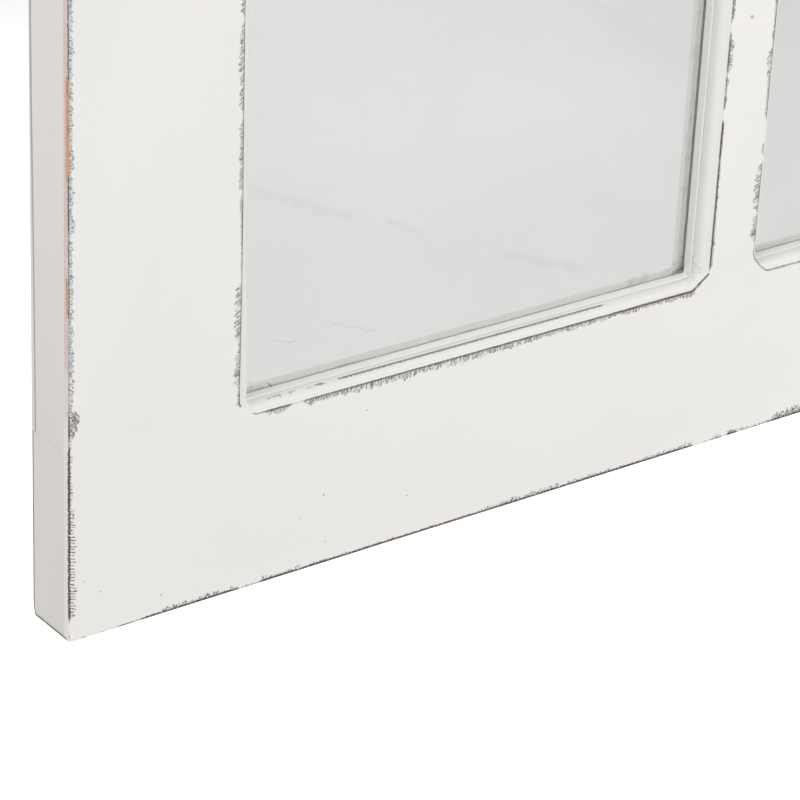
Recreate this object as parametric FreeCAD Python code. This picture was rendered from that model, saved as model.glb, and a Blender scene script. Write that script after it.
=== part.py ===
import FreeCAD, Part
import os
import math

V = FreeCAD.Vector

# ---------------------------------------------------------------------------
# Wall mirror made like a window sash: two rails, two stiles, one upright bar,
# four short cross bars, six looking-glass panes, all hung on two swinging eyes.
# Millimetres. +X to the right seen from the front, +Z up, +Y to the wall.
# The origin lies on the wall plane, at mid width and mid height.
# ---------------------------------------------------------------------------

# overall sash
frame_w = 610.0          # outside width
frame_h = 914.0          # outside height
frame_t = 25.0           # board thickness
stand_off = 6.0          # back of the boards to the wall plane
board_w = 75.0           # width of rails and stiles, moulding included
bar_w = 34.0             # width of the inner bars, both mouldings included
columns = 2
rows = 3

# outer arrises
corner_r = 1.2           # the four outside corners, seen from the front
front_arris_r = 0.7      # front edge all round
rail_back_arris_r = 1.2  # back edge of the rails
stile_back_arris_r = 2.4 # back edge of the stiles

# stuck moulding round every pane, u = across the face, d = depth from the front
mould_u = 4.2            # face arris to sight edge
quirk_d = 0.9            # drop at the face arris
ovolo_u = 2.9            # width of the rounded part
ovolo_d = 5.1            # depth at which the rounded part ends
bit_r = 5.5              # inside corner radius of the sight line of the moulding
glass_d = 8.6            # depth of the ledge the glass lies on

# rear rebates
glass_lap = 6.0          # rebate width for the glass
panel_lap = 22.0         # rebate width for the back panel
panel_d = 15.6           # depth of the rebate floor for the back panel

# filling
glass_t = 3.0
glass_play = 0.5
pad_t = 4.0
pad_play = 1.0
panel_t = 3.0
panel_play = 0.5

# panel screws
ps_head_r = 3.0
ps_head_h = 1.6
ps_shank_r = 1.5
ps_len = 12.0
ps_inset = 61.0          # screw line, from the outside of the sash
ps_panel_hole_r = 1.75
ps_stile_z = (-330.0, -110.0, 110.0, 330.0)
ps_rail_x = (-180.0, -60.0, 60.0, 180.0)

# dowels
cd_r = 4.0
cd_len = 40.0
cd_inset = (17.0, 43.0)  # from the outside of the stile
cd_d = 12.5              # depth of the axis from the front
bd_r = 3.0
bd_len = 26.0
bd_d = 7.8
dowel_play = 0.05
dowel_end = 1.0

# hangers
hang_x = 279.0
hang_z = 300.0           # height of the pivot above mid height
strap_w = 14.0
strap_t = 1.2
strap_len = 48.0
eye_axis = 3.0           # pivot, from the back of the boards
wire_r = 1.4
knuckle_in_r = 1.45
knuckle_out_r = 2.65
eye_half = 10.5          # half width of the eye at the wire's centre line
eye_bend = 2.5
eye_drop = 6.0           # pivot to the centre of the round part
hs_z = (-28.0, -40.0)    # screws below the pivot
hs_head_r = 3.4
hs_head_h = 1.7
hs_shank_r = 1.75
hs_len = 14.0
hs_hole_r = 2.0

# wall bumpers
bump_r = 7.0
bump_x = 285.0
bump_z = -437.0
bump_edge = 1.0

# ---------------------------------------------------------------------------
# derived positions
# ---------------------------------------------------------------------------
hw = frame_w / 2.0
hh = frame_h / 2.0
y_back = -stand_off
y_front = y_back - frame_t


def yd(d):
    """Y of a depth d behind the front face."""
    return y_front + d


pane_w = (frame_w - 2 * board_w - (columns - 1) * bar_w) / columns
pane_h = (frame_h - 2 * board_w - (rows - 1) * bar_w) / rows
col_x = [-hw + board_w + i * (pane_w + bar_w) for i in range(columns)]
row_z = [-hh + board_w + j * (pane_h + bar_w) for j in range(rows)]
col_name = ("left", "right")
row_name = ("bottom", "middle", "top")
openings = {}
for j in range(rows):
    for i in range(columns):
        openings[row_name[j] + "_" + col_name[i]] = (
            col_x[i], col_x[i] + pane_w, row_z[j], row_z[j] + pane_h)


def box(x0, x1, y0, y1, z0, z1):
    return Part.makeBox(x1 - x0, y1 - y0, z1 - z0, V(x0, y0, z0))


def one(shape):
    s = shape.removeSplitter()
    if len(s.Solids) != 1:
        raise RuntimeError("expected one solid, got %d" % len(s.Solids))
    return s.Solids[0]


def cyl(r, h, base, axis):
    return Part.makeCylinder(r, h, base, axis)


# ---------------------------------------------------------------------------
# outline block with rounded arrises
# ---------------------------------------------------------------------------
def outline_block(back_r):
    b = box(-hw, hw, y_front, y_back, -hh, hh)
    corners = [e for e in b.Edges
               if abs(e.Vertexes[0].Point.x - e.Vertexes[1].Point.x) < 1e-6
               and abs(e.Vertexes[0].Point.z - e.Vertexes[1].Point.z) < 1e-6]
    b = b.makeFillet(corner_r, corners)

    def ring(y):
        return [e for e in b.Edges
                if all(abs(v.Point.y - y) < 1e-6 for v in e.Vertexes)]
    b = b.makeFillet(front_arris_r, ring(y_front))

    def ring2(y):
        return [e for e in b.Edges
                if all(abs(v.Point.y - y) < 1e-6 for v in e.Vertexes)]
    b = b.makeFillet(back_r, ring2(y_back))
    return b


block_rail = outline_block(rail_back_arris_r)
block_stile = outline_block(stile_back_arris_r)

# ---------------------------------------------------------------------------
# pane openings: round-cornered pocket, square light, rebate, and the rounded
# strip that is left standing in the pocket
# ---------------------------------------------------------------------------
arris_r = mould_u + bit_r
ov_h = ovolo_d - quirk_d


def round_rect_prism(x0, x1, z0, z1, r, y0, y1):
    b = box(x0, x1, y0, y1, z0, z1)
    edges = [e for e in b.Edges
             if abs(e.Vertexes[0].Point.y - e.Vertexes[1].Point.y) > 1e-6]
    return b.makeFillet(r, edges)


def ovolo_face(origin, inward):
    """Quarter-ellipse section standing on the pocket floor at the face arris."""
    o = V(origin.x, yd(ovolo_d), origin.z)
    a = V(origin.x, yd(quirk_d), origin.z)
    b = V(origin.x + inward.x * ovolo_u, yd(ovolo_d), origin.z + inward.z * ovolo_u)
    up = V(0, -1, 0)
    if ov_h >= ovolo_u:
        ell = Part.Ellipse(o + up * ov_h, o + V(inward.x, 0, inward.z) * ovolo_u, o)
    else:
        ell = Part.Ellipse(o + V(inward.x, 0, inward.z) * ovolo_u, o + up * ov_h, o)
    ta = ell.parameter(a)
    tb = ell.parameter(b)
    lo, hi = min(ta, tb), max(ta, tb)
    if hi - lo > math.pi:
        lo, hi = hi, lo + 2 * math.pi
    arc = ell.toShape(lo, hi)
    w = Part.Wire(Part.__sortEdges__([arc, Part.makeLine(b, o), Part.makeLine(o, a)]))
    return Part.Face(w)


def ovolo_ring(x0, x1, z0, z1):
    """Rounded strip along the whole sight line of one opening."""
    ax0, ax1, az0, az1 = x0 - mould_u, x1 + mould_u, z0 - mould_u, z1 + mould_u
    r = arris_r
    lx = ax1 - ax0 - 2 * r
    lz = az1 - az0 - 2 * r
    parts = [
        ovolo_face(V(ax0, 0, az0 + r), V(1, 0, 0)).extrude(V(0, 0, lz)),
        ovolo_face(V(ax1, 0, az0 + r), V(-1, 0, 0)).extrude(V(0, 0, lz)),
        ovolo_face(V(ax0 + r, 0, az0), V(0, 0, 1)).extrude(V(lx, 0, 0)),
        ovolo_face(V(ax0 + r, 0, az1), V(0, 0, -1)).extrude(V(lx, 0, 0)),
    ]
    # quarter turns about Y, each starting on an upright side
    for cx, cz, sx, turn in ((ax0 + r, az0 + r, -1, -90), (ax1 - r, az0 + r, 1, 90),
                             (ax0 + r, az1 - r, -1, 90), (ax1 - r, az1 - r, 1, -90)):
        f = ovolo_face(V(cx + sx * r, 0, cz), V(-sx, 0, 0))
        parts.append(f.revolve(V(cx, 0, cz), V(0, 1, 0), turn))
    ring = parts[0].fuse(parts[1:])
    return ring


cutters = []
rings = []
for name, (x0, x1, z0, z1) in openings.items():
    pocket = round_rect_prism(x0 - mould_u, x1 + mould_u, z0 - mould_u, z1 + mould_u,
                              arris_r, y_front - 2, yd(ovolo_d))
    ring = ovolo_ring(x0, x1, z0, z1)
    light = box(x0, x1, y_front - 2, y_back + 2, z0, z1)
    rebate = box(x0 - glass_lap, x1 + glass_lap, yd(glass_d), y_back + 2,
                 z0 - glass_lap, z1 + glass_lap)
    cutters.append((x0, x1, z0, z1, pocket.cut(ring), light, rebate))

panel_x = hw - board_w + panel_lap
panel_z = hh - board_w + panel_lap
panel_pocket = box(-panel_x, panel_x, yd(panel_d), y_back + 2, -panel_z, panel_z)

# ---------------------------------------------------------------------------
# dowels and screws
# ---------------------------------------------------------------------------
corner_dowels = []
corner_holes = []
for sx in (-1, 1):
    for sz in (-1, 1):
        for ins in cd_inset:
            x = sx * (hw - ins)
            zj = sz * (hh - board_w)
            b = cyl(cd_r, cd_len, V(x, yd(cd_d), zj - cd_len / 2), V(0, 0, 1))
            b = b.makeChamfer(0.8, [e for e in b.Edges if e.Closed])
            corner_dowels.append(b)
            corner_holes.append(cyl(cd_r + dowel_play, cd_len + 2 * dowel_end,
                                    V(x, yd(cd_d), zj - cd_len / 2 - dowel_end), V(0, 0, 1)))

bar_dowels = []
bar_holes = []


def add_bar_dowel(c, axis):
    s = V(c.x - axis.x * bd_len / 2, c.y, c.z - axis.z * bd_len / 2)
    b = cyl(bd_r, bd_len, s, axis)
    b = b.makeChamfer(0.6, [e for e in b.Edges if e.Closed])
    bar_dowels.append(b)
    s2 = V(s.x - axis.x * dowel_end, s.y, s.z - axis.z * dowel_end)
    bar_holes.append(cyl(bd_r + dowel_play, bd_len + 2 * dowel_end, s2, axis))


for sz in (-1, 1):
    add_bar_dowel(V(0, yd(bd_d), sz * (hh - board_w)), V(0, 0, 1))
cross_z = [row_z[j] + pane_h + bar_w / 2 for j in range(rows - 1)]
for z in cross_z:
    for x in (-hw + board_w, -bar_w / 2, bar_w / 2, hw - board_w):
        add_bar_dowel(V(x, yd(bd_d), z), V(1, 0, 0))


def screw(head_r, head_h, shank_r, length, seat, tip=3.0):
    """Pan-head wood screw, axis along Y, head on the wall side of the seat."""
    head = cyl(head_r, head_h, seat, V(0, 1, 0))
    top = [e for e in head.Edges if e.Closed and abs(e.Vertexes[0].Point.y - seat.y - head_h) < 1e-6]
    head = head.makeFillet(head_h * 0.55, top)
    w, l = 0.55, head_r * 1.15
    deep = head_h * 0.6
    y0 = seat.y + head_h - deep
    cross = box(seat.x - w, seat.x + w, y0, seat.y + head_h + 1, seat.z - l / 2, seat.z + l / 2)
    cross = cross.fuse(box(seat.x - l / 2, seat.x + l / 2, y0, seat.y + head_h + 1,
                           seat.z - w, seat.z + w))
    head = head.cut(cross)
    shank = cyl(shank_r, length - tip, V(seat.x, seat.y - (length - tip), seat.z), V(0, 1, 0))
    cone = Part.makeCone(0.25, shank_r, tip, V(seat.x, seat.y - length, seat.z), V(0, 1, 0))
    return one(head.fuse([shank, cone]))


panel_screws = []
panel_screw_holes = []
panel_holes = []
for sx in (-1, 1):
    for z in ps_stile_z:
        panel_screws.append((sx * (hw - ps_inset), z))
for sz in (-1, 1):
    for x in ps_rail_x:
        panel_screws.append((x, sz * (hh - ps_inset)))
ps_seat = yd(panel_d + panel_t)
for x, z in panel_screws:
    panel_screw_holes.append(cyl(ps_shank_r + 0.05, ps_len + 0.5,
                                 V(x, ps_seat - ps_len - 0.5, z), V(0, 1, 0)))
    panel_holes.append(cyl(ps_panel_hole_r, panel_t + 2, V(x, ps_seat - panel_t - 1, z), V(0, 1, 0)))

hanger_screw_pos = [(sx * hang_x, hang_z + dz) for sx in (-1, 1) for dz in hs_z]
hs_seat = y_back + strap_t
hanger_holes = [cyl(hs_shank_r + 0.05, hs_len + 0.5, V(x, hs_seat - hs_len - 0.5, z), V(0, 1, 0))
                for x, z in hanger_screw_pos]

all_holes = corner_holes + bar_holes + panel_screw_holes + hanger_holes


# ---------------------------------------------------------------------------
# wooden members
# ---------------------------------------------------------------------------
def member(block, x0, x1, z0, z1):
    m = block.common(box(x0, x1, y_front - 5, y_back + 5, z0, z1)) if block else \
        box(x0, x1, y_front, y_back, z0, z1)
    bb = FreeCAD.BoundBox(x0 - 1, y_front - 10, z0 - 1, x1 + 1, y_back + 10, z1 + 1)
    for ox0, ox1, oz0, oz1, pocket, light, rebate in cutters:
        for c in (pocket, light, rebate):
            if c.BoundBox.intersect(bb):
                m = m.cut(c)
    if panel_pocket.BoundBox.intersect(bb):
        m = m.cut(panel_pocket)
    for h in all_holes:
        if h.BoundBox.intersect(bb):
            m = m.cut(h)
    return one(m)


nodes = {}
nodes["bottom_rail"] = member(block_rail, -hw, hw, -hh, -hh + board_w)
nodes["top_rail"] = member(block_rail, -hw, hw, hh - board_w, hh)
nodes["left_stile"] = member(block_stile, -hw, -hw + board_w, -hh + board_w, hh - board_w)
nodes["right_stile"] = member(block_stile, hw - board_w, hw, -hh + board_w, hh - board_w)
nodes["upright_bar"] = member(None, -bar_w / 2, bar_w / 2, -hh + board_w, hh - board_w)
for j, level in ((0, "lower"), (1, "upper")):
    z0 = row_z[j] + pane_h
    nodes[level + "_left_cross_bar"] = member(None, -hw + board_w, -bar_w / 2, z0, z0 + bar_w)
    nodes[level + "_right_cross_bar"] = member(None, bar_w / 2, hw - board_w, z0, z0 + bar_w)

# ---------------------------------------------------------------------------
# panes, pads, back panel
# ---------------------------------------------------------------------------
for name, (x0, x1, z0, z1) in openings.items():
    g = glass_lap - glass_play
    pane = box(x0 - g, x1 + g, yd(glass_d), yd(glass_d + glass_t), z0 - g, z1 + g)
    nodes["mirror_pane_" + name] = pane.makeChamfer(0.3, pane.Edges)
    p = glass_lap - pad_play
    nodes["pane_pad_" + name] = box(x0 - p, x1 + p, yd(glass_d + glass_t),
                                    yd(glass_d + glass_t + pad_t), z0 - p, z1 + p)

panel = box(-panel_x + panel_play, panel_x - panel_play, yd(panel_d), yd(panel_d + panel_t),
            -panel_z + panel_play, panel_z - panel_play)
panel = panel.cut(Part.makeCompound(panel_holes))
nodes["back_panel"] = one(panel)

nodes["back_panel_screws"] = Part.makeCompound(
    [screw(ps_head_r, ps_head_h, ps_shank_r, ps_len, V(x, ps_seat, z)) for x, z in panel_screws])
nodes["corner_dowels"] = Part.makeCompound(corner_dowels)
nodes["bar_dowels"] = Part.makeCompound(bar_dowels)

# ---------------------------------------------------------------------------
# hangers: a strap curled round the straight side of a D-shaped wire eye
# ---------------------------------------------------------------------------
def strap(cx):
    y0, yp = y_back, y_back + eye_axis
    plate = box(cx - strap_w / 2, cx + strap_w / 2, y0, y0 + strap_t, hang_z - strap_len, hang_z)
    tail = [e for e in plate.Edges
            if abs(e.Vertexes[0].Point.z - (hang_z - strap_len)) < 1e-6
            and abs(e.Vertexes[1].Point.z - (hang_z - strap_len)) < 1e-6
            and abs(e.Vertexes[0].Point.x - e.Vertexes[1].Point.x) < 1e-6]
    plate = plate.makeFillet(strap_w / 2 - 0.6, tail)
    curl = cyl(knuckle_out_r, strap_w, V(cx - strap_w / 2, yp, hang_z), V(1, 0, 0))
    # web that carries the plate up into the curl
    web = box(cx - strap_w / 2, cx + strap_w / 2, y0, yp, hang_z - knuckle_out_r - 1.2, hang_z)
    s = plate.fuse([curl, web])
    s = s.cut(cyl(knuckle_in_r, strap_w + 2, V(cx - strap_w / 2 - 1, yp, hang_z), V(1, 0, 0)))
    for dz in hs_z:
        s = s.cut(cyl(hs_hole_r, strap_t + 2, V(cx, y0 - 1, hang_z + dz), V(0, 1, 0)))
    return one(s)


def eye(cx):
    """Round wire bent to a D, hanging from its straight side."""
    yp = y_back + eye_axis
    h, b = eye_half, eye_bend
    zc = hang_z - eye_drop

    def p(x, z):
        return V(cx + x, yp, z)
    k = math.sqrt(0.5)
    edges = [
        Part.makeLine(p(-h + b, hang_z), p(h - b, hang_z)),
        Part.Arc(p(h - b, hang_z), p(h - b + b * k, hang_z - b + b * k), p(h, hang_z - b)).toShape(),
        Part.makeLine(p(h, hang_z - b), p(h, zc)),
        Part.Arc(p(h, zc), p(0, zc - h), p(-h, zc)).toShape(),
        Part.makeLine(p(-h, zc), p(-h, hang_z - b)),
        Part.Arc(p(-h, hang_z - b), p(-h + b - b * k, hang_z - b + b * k), p(-h + b, hang_z)).toShape(),
    ]
    pieces = []
    for e in edges:
        a, t = e.Vertexes[0].Point, e.tangentAt(e.FirstParameter)
        c = Part.Face(Part.Wire(Part.makeCircle(wire_r, e.valueAt(e.FirstParameter), t)))
        if e.Curve.TypeId == "Part::GeomLine":
            pieces.append(c.extrude(e.valueAt(e.LastParameter) - e.valueAt(e.FirstParameter)))
        else:
            ang = math.degrees(e.LastParameter - e.FirstParameter)
            pieces.append(c.revolve(e.Curve.Center, e.Curve.Axis, ang))
    return one(pieces[0].fuse(pieces[1:]))


for side, sx in (("left", -1), ("right", 1)):
    nodes[side + "_hanger_strap"] = strap(sx * hang_x)
    nodes[side + "_hanger_eye"] = eye(sx * hang_x)
nodes["hanger_screws"] = Part.makeCompound(
    [screw(hs_head_r, hs_head_h, hs_shank_r, hs_len, V(x, hs_seat, z)) for x, z in hanger_screw_pos])

# ---------------------------------------------------------------------------
# rubber bumpers at the foot, against the wall
# ---------------------------------------------------------------------------
for side, sx in (("left", -1), ("right", 1)):
    b = cyl(bump_r, stand_off, V(sx * bump_x, y_back, bump_z), V(0, 1, 0))
    rim = [e for e in b.Edges if e.Closed and abs(e.Vertexes[0].Point.y) < 1e-6]
    nodes[side + "_wall_bumper"] = b.makeFillet(bump_edge, rim)

# ---------------------------------------------------------------------------
# one file per sub-part
# ---------------------------------------------------------------------------
os.makedirs("parts", exist_ok=True)
for name, shape in nodes.items():
    shape.exportStep("parts/" + name + ".step")
    print(name, len(shape.Solids), "valid" if shape.isValid() else "INVALID", round(shape.Volume, 1))
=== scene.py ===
import math

import bmesh
import bpy
import numpy as np
from mathutils import Matrix, Vector
from mathutils.geometry import delaunay_2d_cdt


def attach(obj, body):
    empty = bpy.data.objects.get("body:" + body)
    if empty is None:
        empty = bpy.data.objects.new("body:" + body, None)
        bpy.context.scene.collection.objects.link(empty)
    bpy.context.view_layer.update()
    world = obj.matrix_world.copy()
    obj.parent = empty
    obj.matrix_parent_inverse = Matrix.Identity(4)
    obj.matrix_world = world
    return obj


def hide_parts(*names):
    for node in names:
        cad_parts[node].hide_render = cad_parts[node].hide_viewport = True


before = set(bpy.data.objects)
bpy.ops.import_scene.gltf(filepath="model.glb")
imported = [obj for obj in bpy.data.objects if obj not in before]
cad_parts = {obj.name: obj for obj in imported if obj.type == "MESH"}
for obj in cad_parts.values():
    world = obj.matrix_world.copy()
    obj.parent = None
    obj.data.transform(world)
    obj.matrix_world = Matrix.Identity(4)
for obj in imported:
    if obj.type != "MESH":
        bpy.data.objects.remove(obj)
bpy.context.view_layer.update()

# ---------------------------------------------------------------------------
# sizes of the sash, in millimetres, as in the construction
# ---------------------------------------------------------------------------
HW, HH = 305.0, 457.0            # half width, half height
Y_FRONT, Y_BACK = -31.0, -6.0
THICK = 25.0
BOARD, BAR = 75.0, 34.0
MOULD, QUIRK = 4.2, 0.9
OV_U, OV_D = 2.9, 5.1
BIT = 5.5
ARRIS = MOULD + BIT
GLASS_D, GLASS_T = 8.6, 3.0
PANEL_D = 15.6
GLASS_LAP, PANEL_LAP = 6.0, 22.0
PANEL_X, PANEL_Z = HW - BOARD + PANEL_LAP, HH - BOARD + PANEL_LAP
CORNER_R = 1.2
FRONT_R = 1.0
PANE_W = (2 * HW - 2 * BOARD - BAR) / 2
PANE_H = (2 * HH - 2 * BOARD - 2 * BAR) / 3
COL_X = [-HW + BOARD, BAR / 2]
ROW_Z = [-HH + BOARD + j * (PANE_H + BAR) for j in range(3)]
COLS = ("left", "right")
ROWS = ("bottom", "middle", "top")
OPEN = []
for j in range(3):
    for i in range(2):
        OPEN.append((ROWS[j] + "_" + COLS[i], COL_X[i], COL_X[i] + PANE_W, ROW_Z[j], ROW_Z[j] + PANE_H))


def smooth(a, b, v):
    t = np.clip((np.asarray(v, float) - a) / (b - a), 0.0, 1.0)
    return t * t * (3 - 2 * t)


_tables = {}


def vnoise(t, seed):
    """Smooth one-dimensional noise, 0 to 1, the same on every run."""
    if seed not in _tables:
        _tables[seed] = np.random.RandomState(seed).rand(4096)
    tab = _tables[seed]
    t = np.asarray(t, float) + 1000.0
    i = np.floor(t).astype(int)
    f = t - i
    f = f * f * (3 - 2 * f)
    return tab[i % 4096] * (1 - f) + tab[(i + 1) % 4096] * f


# ---------------------------------------------------------------------------
# moulding profile: u across the face from the face arris, d depth from the front
# ---------------------------------------------------------------------------
def moulding():
    pts = []
    r = 0.5
    for a in (0, 18, 36, 54, 72, 86):
        t = math.radians(a)
        pts.append((-r + r * math.sin(t), r * (1 - math.cos(t))))
    pts.append((0.02, QUIRK - 0.12))
    for a in (4, 12, 20, 28, 36, 44, 52, 59, 65, 70, 75, 80, 85, 89):
        t = math.radians(a)
        s, c = math.sin(t), math.cos(t)
        pts.append((OV_U * s ** 0.9, OV_D - (OV_D - QUIRK) * c ** 0.9))
    pts += [(2.98, 5.38), (3.10, 5.46), (3.22, 5.30), (3.34, 5.06), (3.48, 4.96), (3.66, 4.93),
            (3.84, 4.95), (3.98, 5.02), (4.09, 5.14), (4.16, 5.30)]
    pts.append((MOULD, 5.50))
    # keep both strictly increasing in u
    out = [pts[0]]
    for p in pts[1:]:
        if p[0] > out[-1][0] + 1e-4:
            out.append(p)
    return np.array(out)


PROF = moulding()
PROF_L = np.concatenate([[0], np.cumsum(np.hypot(np.diff(PROF[:, 0]), np.diff(PROF[:, 1])))])
PROF_L = PROF_L - np.interp(-0.15, PROF[:, 0], PROF_L)      # zero on the arris itself
FACE_LINES = (-0.62, -0.9, -1.4, -2.0, -2.8, -3.8, -5.2, -7.2)


def sdf_round(x, z, x0, x1, z0, z1, r):
    cx, cz = (x0 + x1) / 2, (z0 + z1) / 2
    qx = np.abs(x - cx) - ((x1 - x0) / 2 - r)
    qz = np.abs(z - cz) - ((z1 - z0) / 2 - r)
    return np.hypot(np.maximum(qx, 0), np.maximum(qz, 0)) + np.minimum(np.maximum(qx, qz), 0) - r


# the face arris turns each pane corner in its own hand-made way, the lip runs nearly square into it
# opening, corner (0 lower left, 1 lower right, 2 upper right, 3 upper left): radius, roundness
LIP_R = 0.5
CORNERS = {(0, 0): (7.0, 2.0), (0, 1): (6.4, 1.25), (1, 0): (8.6, 1.3), (1, 1): (8.2, 1.6), (2, 3): (8.8, 2.0),
           (4, 3): (8.0, 1.7), (5, 2): (10.5, 2.0)}
CR = np.array([[CORNERS.get((k, c), (ARRIS, 2.0))[0] for c in range(4)] for k in range(len(OPEN))])
CP = np.array([[CORNERS.get((k, c), (ARRIS, 2.0))[1] for c in range(4)] for k in range(len(OPEN))])


def corner_r(ra, u):
    """Corner radius of the line at distance u inside the face arris."""
    return np.where(u < 0, ra - u, ra + (LIP_R - ra) * np.clip(u / MOULD, 0, 1))


def corner_index(x, z, x0, x1, z0, z1):
    left, low = x < (x0 + x1) / 2, z < (z0 + z1) / 2
    return np.where(low, np.where(left, 0, 1), np.where(left, 3, 2))


def pane_fields(x, z):
    """Distance inside the nearest face arris, and which opening it belongs to."""
    best = np.full(x.shape, -1e9)
    which = np.zeros(x.shape, int)
    for k, (_, x0, x1, z0, z1) in enumerate(OPEN):
        ax = np.minimum(x - (x0 - MOULD), (x1 + MOULD) - x)
        az = np.minimum(z - (z0 - MOULD), (z1 + MOULD) - z)
        c = corner_index(x, z, x0, x1, z0, z1)
        ra, pw = CR[k][c], CP[k][c]

        def left_over(uu, sel):
            r, q = corner_r(ra[sel], uu), pw[sel]
            qx = np.maximum(r - (ax[sel] - uu), 0)
            qz = np.maximum(r - (az[sel] - uu), 0)
            return r - (qx ** q + qz ** q) ** (1 / q)
        u = np.minimum(ax, az)
        sel = np.flatnonzero(left_over(u, np.arange(len(x))) < -1e-9)
        if len(sel):
            lo, hi = -(np.abs(ax) + np.abs(az) + 20)[sel], u[sel].copy()
            for _ in range(48):
                mid = (lo + hi) / 2
                ok = left_over(mid, sel) >= 0
                lo, hi = np.where(ok, mid, lo), np.where(ok, hi, mid)
            u[sel] = lo
        m = u > best
        best[m] = u[m]
        which[m] = k
    return best, which


def sway(x, z, d):
    """Hand-made unevenness, sideways in mm: the moulding of the upright bar is wider on its left,
    and the left sight edge of the lower left opening is not quite upright."""
    bar = np.interp(x, [-60, -17, -15.7, -12.8, -4, 4], [0, 0.4, 0.4, 2.25, 0.8, 0])
    bar = bar * smooth(-414, -388, z) * (1 - smooth(388, 414, z))
    tilt = np.interp(z, [-414, -384, -371, -330, -301, -265, -235, -150], [0, .85, .8, .8, .45, -.1, -.45, 0])
    wide = np.interp(z, [-396, -384, -371, -347, -324, -235, -150, -120], [0, 2.0, 1.95, 1.6, .5, .5, .2, 0])
    stile = tilt * np.interp(x, [-264, -234.2, -230, -190], [0, 1, 1, 0]) + wide * np.interp(x, [-234.2, -232.1, -230, -190], [0, 1, 1, 0])
    return (bar + stile) * (1 - smooth(11.0, 15.0, d))


def front_depth(x, z, u):
    d = np.where(u < PROF[0, 0], 0.0, np.interp(u, PROF[:, 0], PROF[:, 1]))
    o = -sdf_round(x, z, -HW, HW, -HH, HH, CORNER_R)
    oo = np.clip(o, 0, FRONT_R)
    d2 = FRONT_R - np.sqrt(np.maximum(FRONT_R ** 2 - (FRONT_R - oo) ** 2, 0))
    return np.maximum(d, d2), o


def rear_bevel(x, z, stile):
    """Width of the bevel along the rear outer arris. On the stiles it grows towards the rails."""
    if not stile:
        return 0.95 + 0.2 * (vnoise((x + z) / 23.0, 92) - 0.5)
    most = np.where(x < 0, np.where(z < 0, 2.75, 1.9), np.where(z < 0, 2.2, 1.6))
    return 1.35 + (most - 1.35) * smooth(225.0, 372.0, np.abs(z)) + 0.15 * (vnoise(z / 26.0, 91) - 0.5)


def rear_round(z):
    """Rounding of the long rear arris of a rail, in depth."""
    t = np.clip((HH - np.abs(z)) / 6.5, 0, 1)
    return 2.4 * (1 - np.sqrt(1 - (1 - t) ** 2))


STEP = 0.06


def back_depth(x, z, stile):
    o = -sdf_round(x, z, -HW, HW, -HH, HH, CORNER_R)
    r = rear_bevel(x, z, stile)
    k = np.interp(o, [0, 0.03, 0.1, 0.25, 0.55] if stile else [0, 0.1, 0.42, 0.8, 1.2], [1.0, 0.78, 0.24, 0.07, 0.0])
    d = THICK - r * k - (0 if stile else rear_round(z))
    ip = np.minimum(PANEL_X - np.abs(x), PANEL_Z - np.abs(z))
    t = np.clip(ip / STEP, 0, 1)
    d = d * (1 - t) + PANEL_D * t
    for _, x0, x1, z0, z1 in OPEN:
        ig = np.minimum(np.minimum(x - x0, x1 - x), np.minimum(z - z0, z1 - z)) + GLASS_LAP
        t = np.clip(ig / STEP, 0, 1)
        d = d * (1 - t) + GLASS_D * t
    return d


# ---------------------------------------------------------------------------
# hand-worn edges: how strongly each stretch of each edge is rubbed through
# ---------------------------------------------------------------------------
def windows(t, spans, soft, field=2):
    w = np.zeros(np.shape(t))
    for sp in spans:
        lo, hi, v = sp[0], sp[1], sp[field]
        w = np.maximum(w, v * smooth(lo - soft, lo + soft, t) * (1 - smooth(hi - soft, hi + soft, t)))
    return w


# stretch along the edge from, to, in mm; reach of the rub marks in mm; darkness of the arris line
PANE_SPANS = {
    (0, "L"): [(-233.5, -150, 1.7, .7), (-237, -233.5, .6, .5), (-244.5, -237, 2.0, .7), (-268, -244.5, 2.4, .85), (-271.5, -268, .9, .6),
               (-299.5, -271.5, 2.0, .75), (-306, -299.5, 1.7, .9), (-318, -306, 1.4, .85), (-333.5, -318, 1.0, .6),
               (-354, -333.5, 3.3, .8), (-359, -354, 1.6, .9), (-374, -359, 2.7, .9), (-381.5, -374, 1.3, 1.0)],
    (0, "B"): [(-230.5, -224, .35, .6), (-224, -213.5, 2.7, .85), (-213.5, -206, .1, .45), (-206, -190, 2.3, .7),
               (-190, -120, 2.9, .75), (-120, -84, 2.5, .8), (-84, -60, 2.2, .85), (-60, -38, 1.9, .95),
               (-38, -17, 2.3, 1.0), (-17, -11, 1.5, .95)],
    (0, "R"): [(-276, -215, 1.5, .6), (-295.3, -282, 2.8, .85), (-302.6, -297.7, 1.7, .7), (-310.4, -305, 1.7, .75),
               (-333, -316.9, 1.2, .95), (-360, -333, 1.4, .9), (-378.5, -360, 1.7, .9), (-388, -380.3, .35, .9)],
    (1, "L"): [(-290, -240, 1.5, .95), (-302, -291.5, 2.7, .9), (-317, -302, 1.9, .85), (-320.5, -316.5, 1.4, .7),
               (-334.5, -330, 1.6, .6), (-357.5, -339, 3.6, .9), (-372, -360, 3.0, .95), (-386, -372, .9, .75)],
    (1, "B"): [(12, 30, .9, .45), (28, 60, 1.1, .4), (70, 110, 2.0, .8), (130, 200, 1.8, .7)],
}
PANE_BROWN = {
    (0, "L"): [(-306, -299.5, .8), (-262, -258, .3)],
    (0, "B"): [(-50, -14, .62), (-192, -186, .2)],
    (0, "R"): [(-334, -326, .55), (-352, -346, .35)],
}
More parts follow.
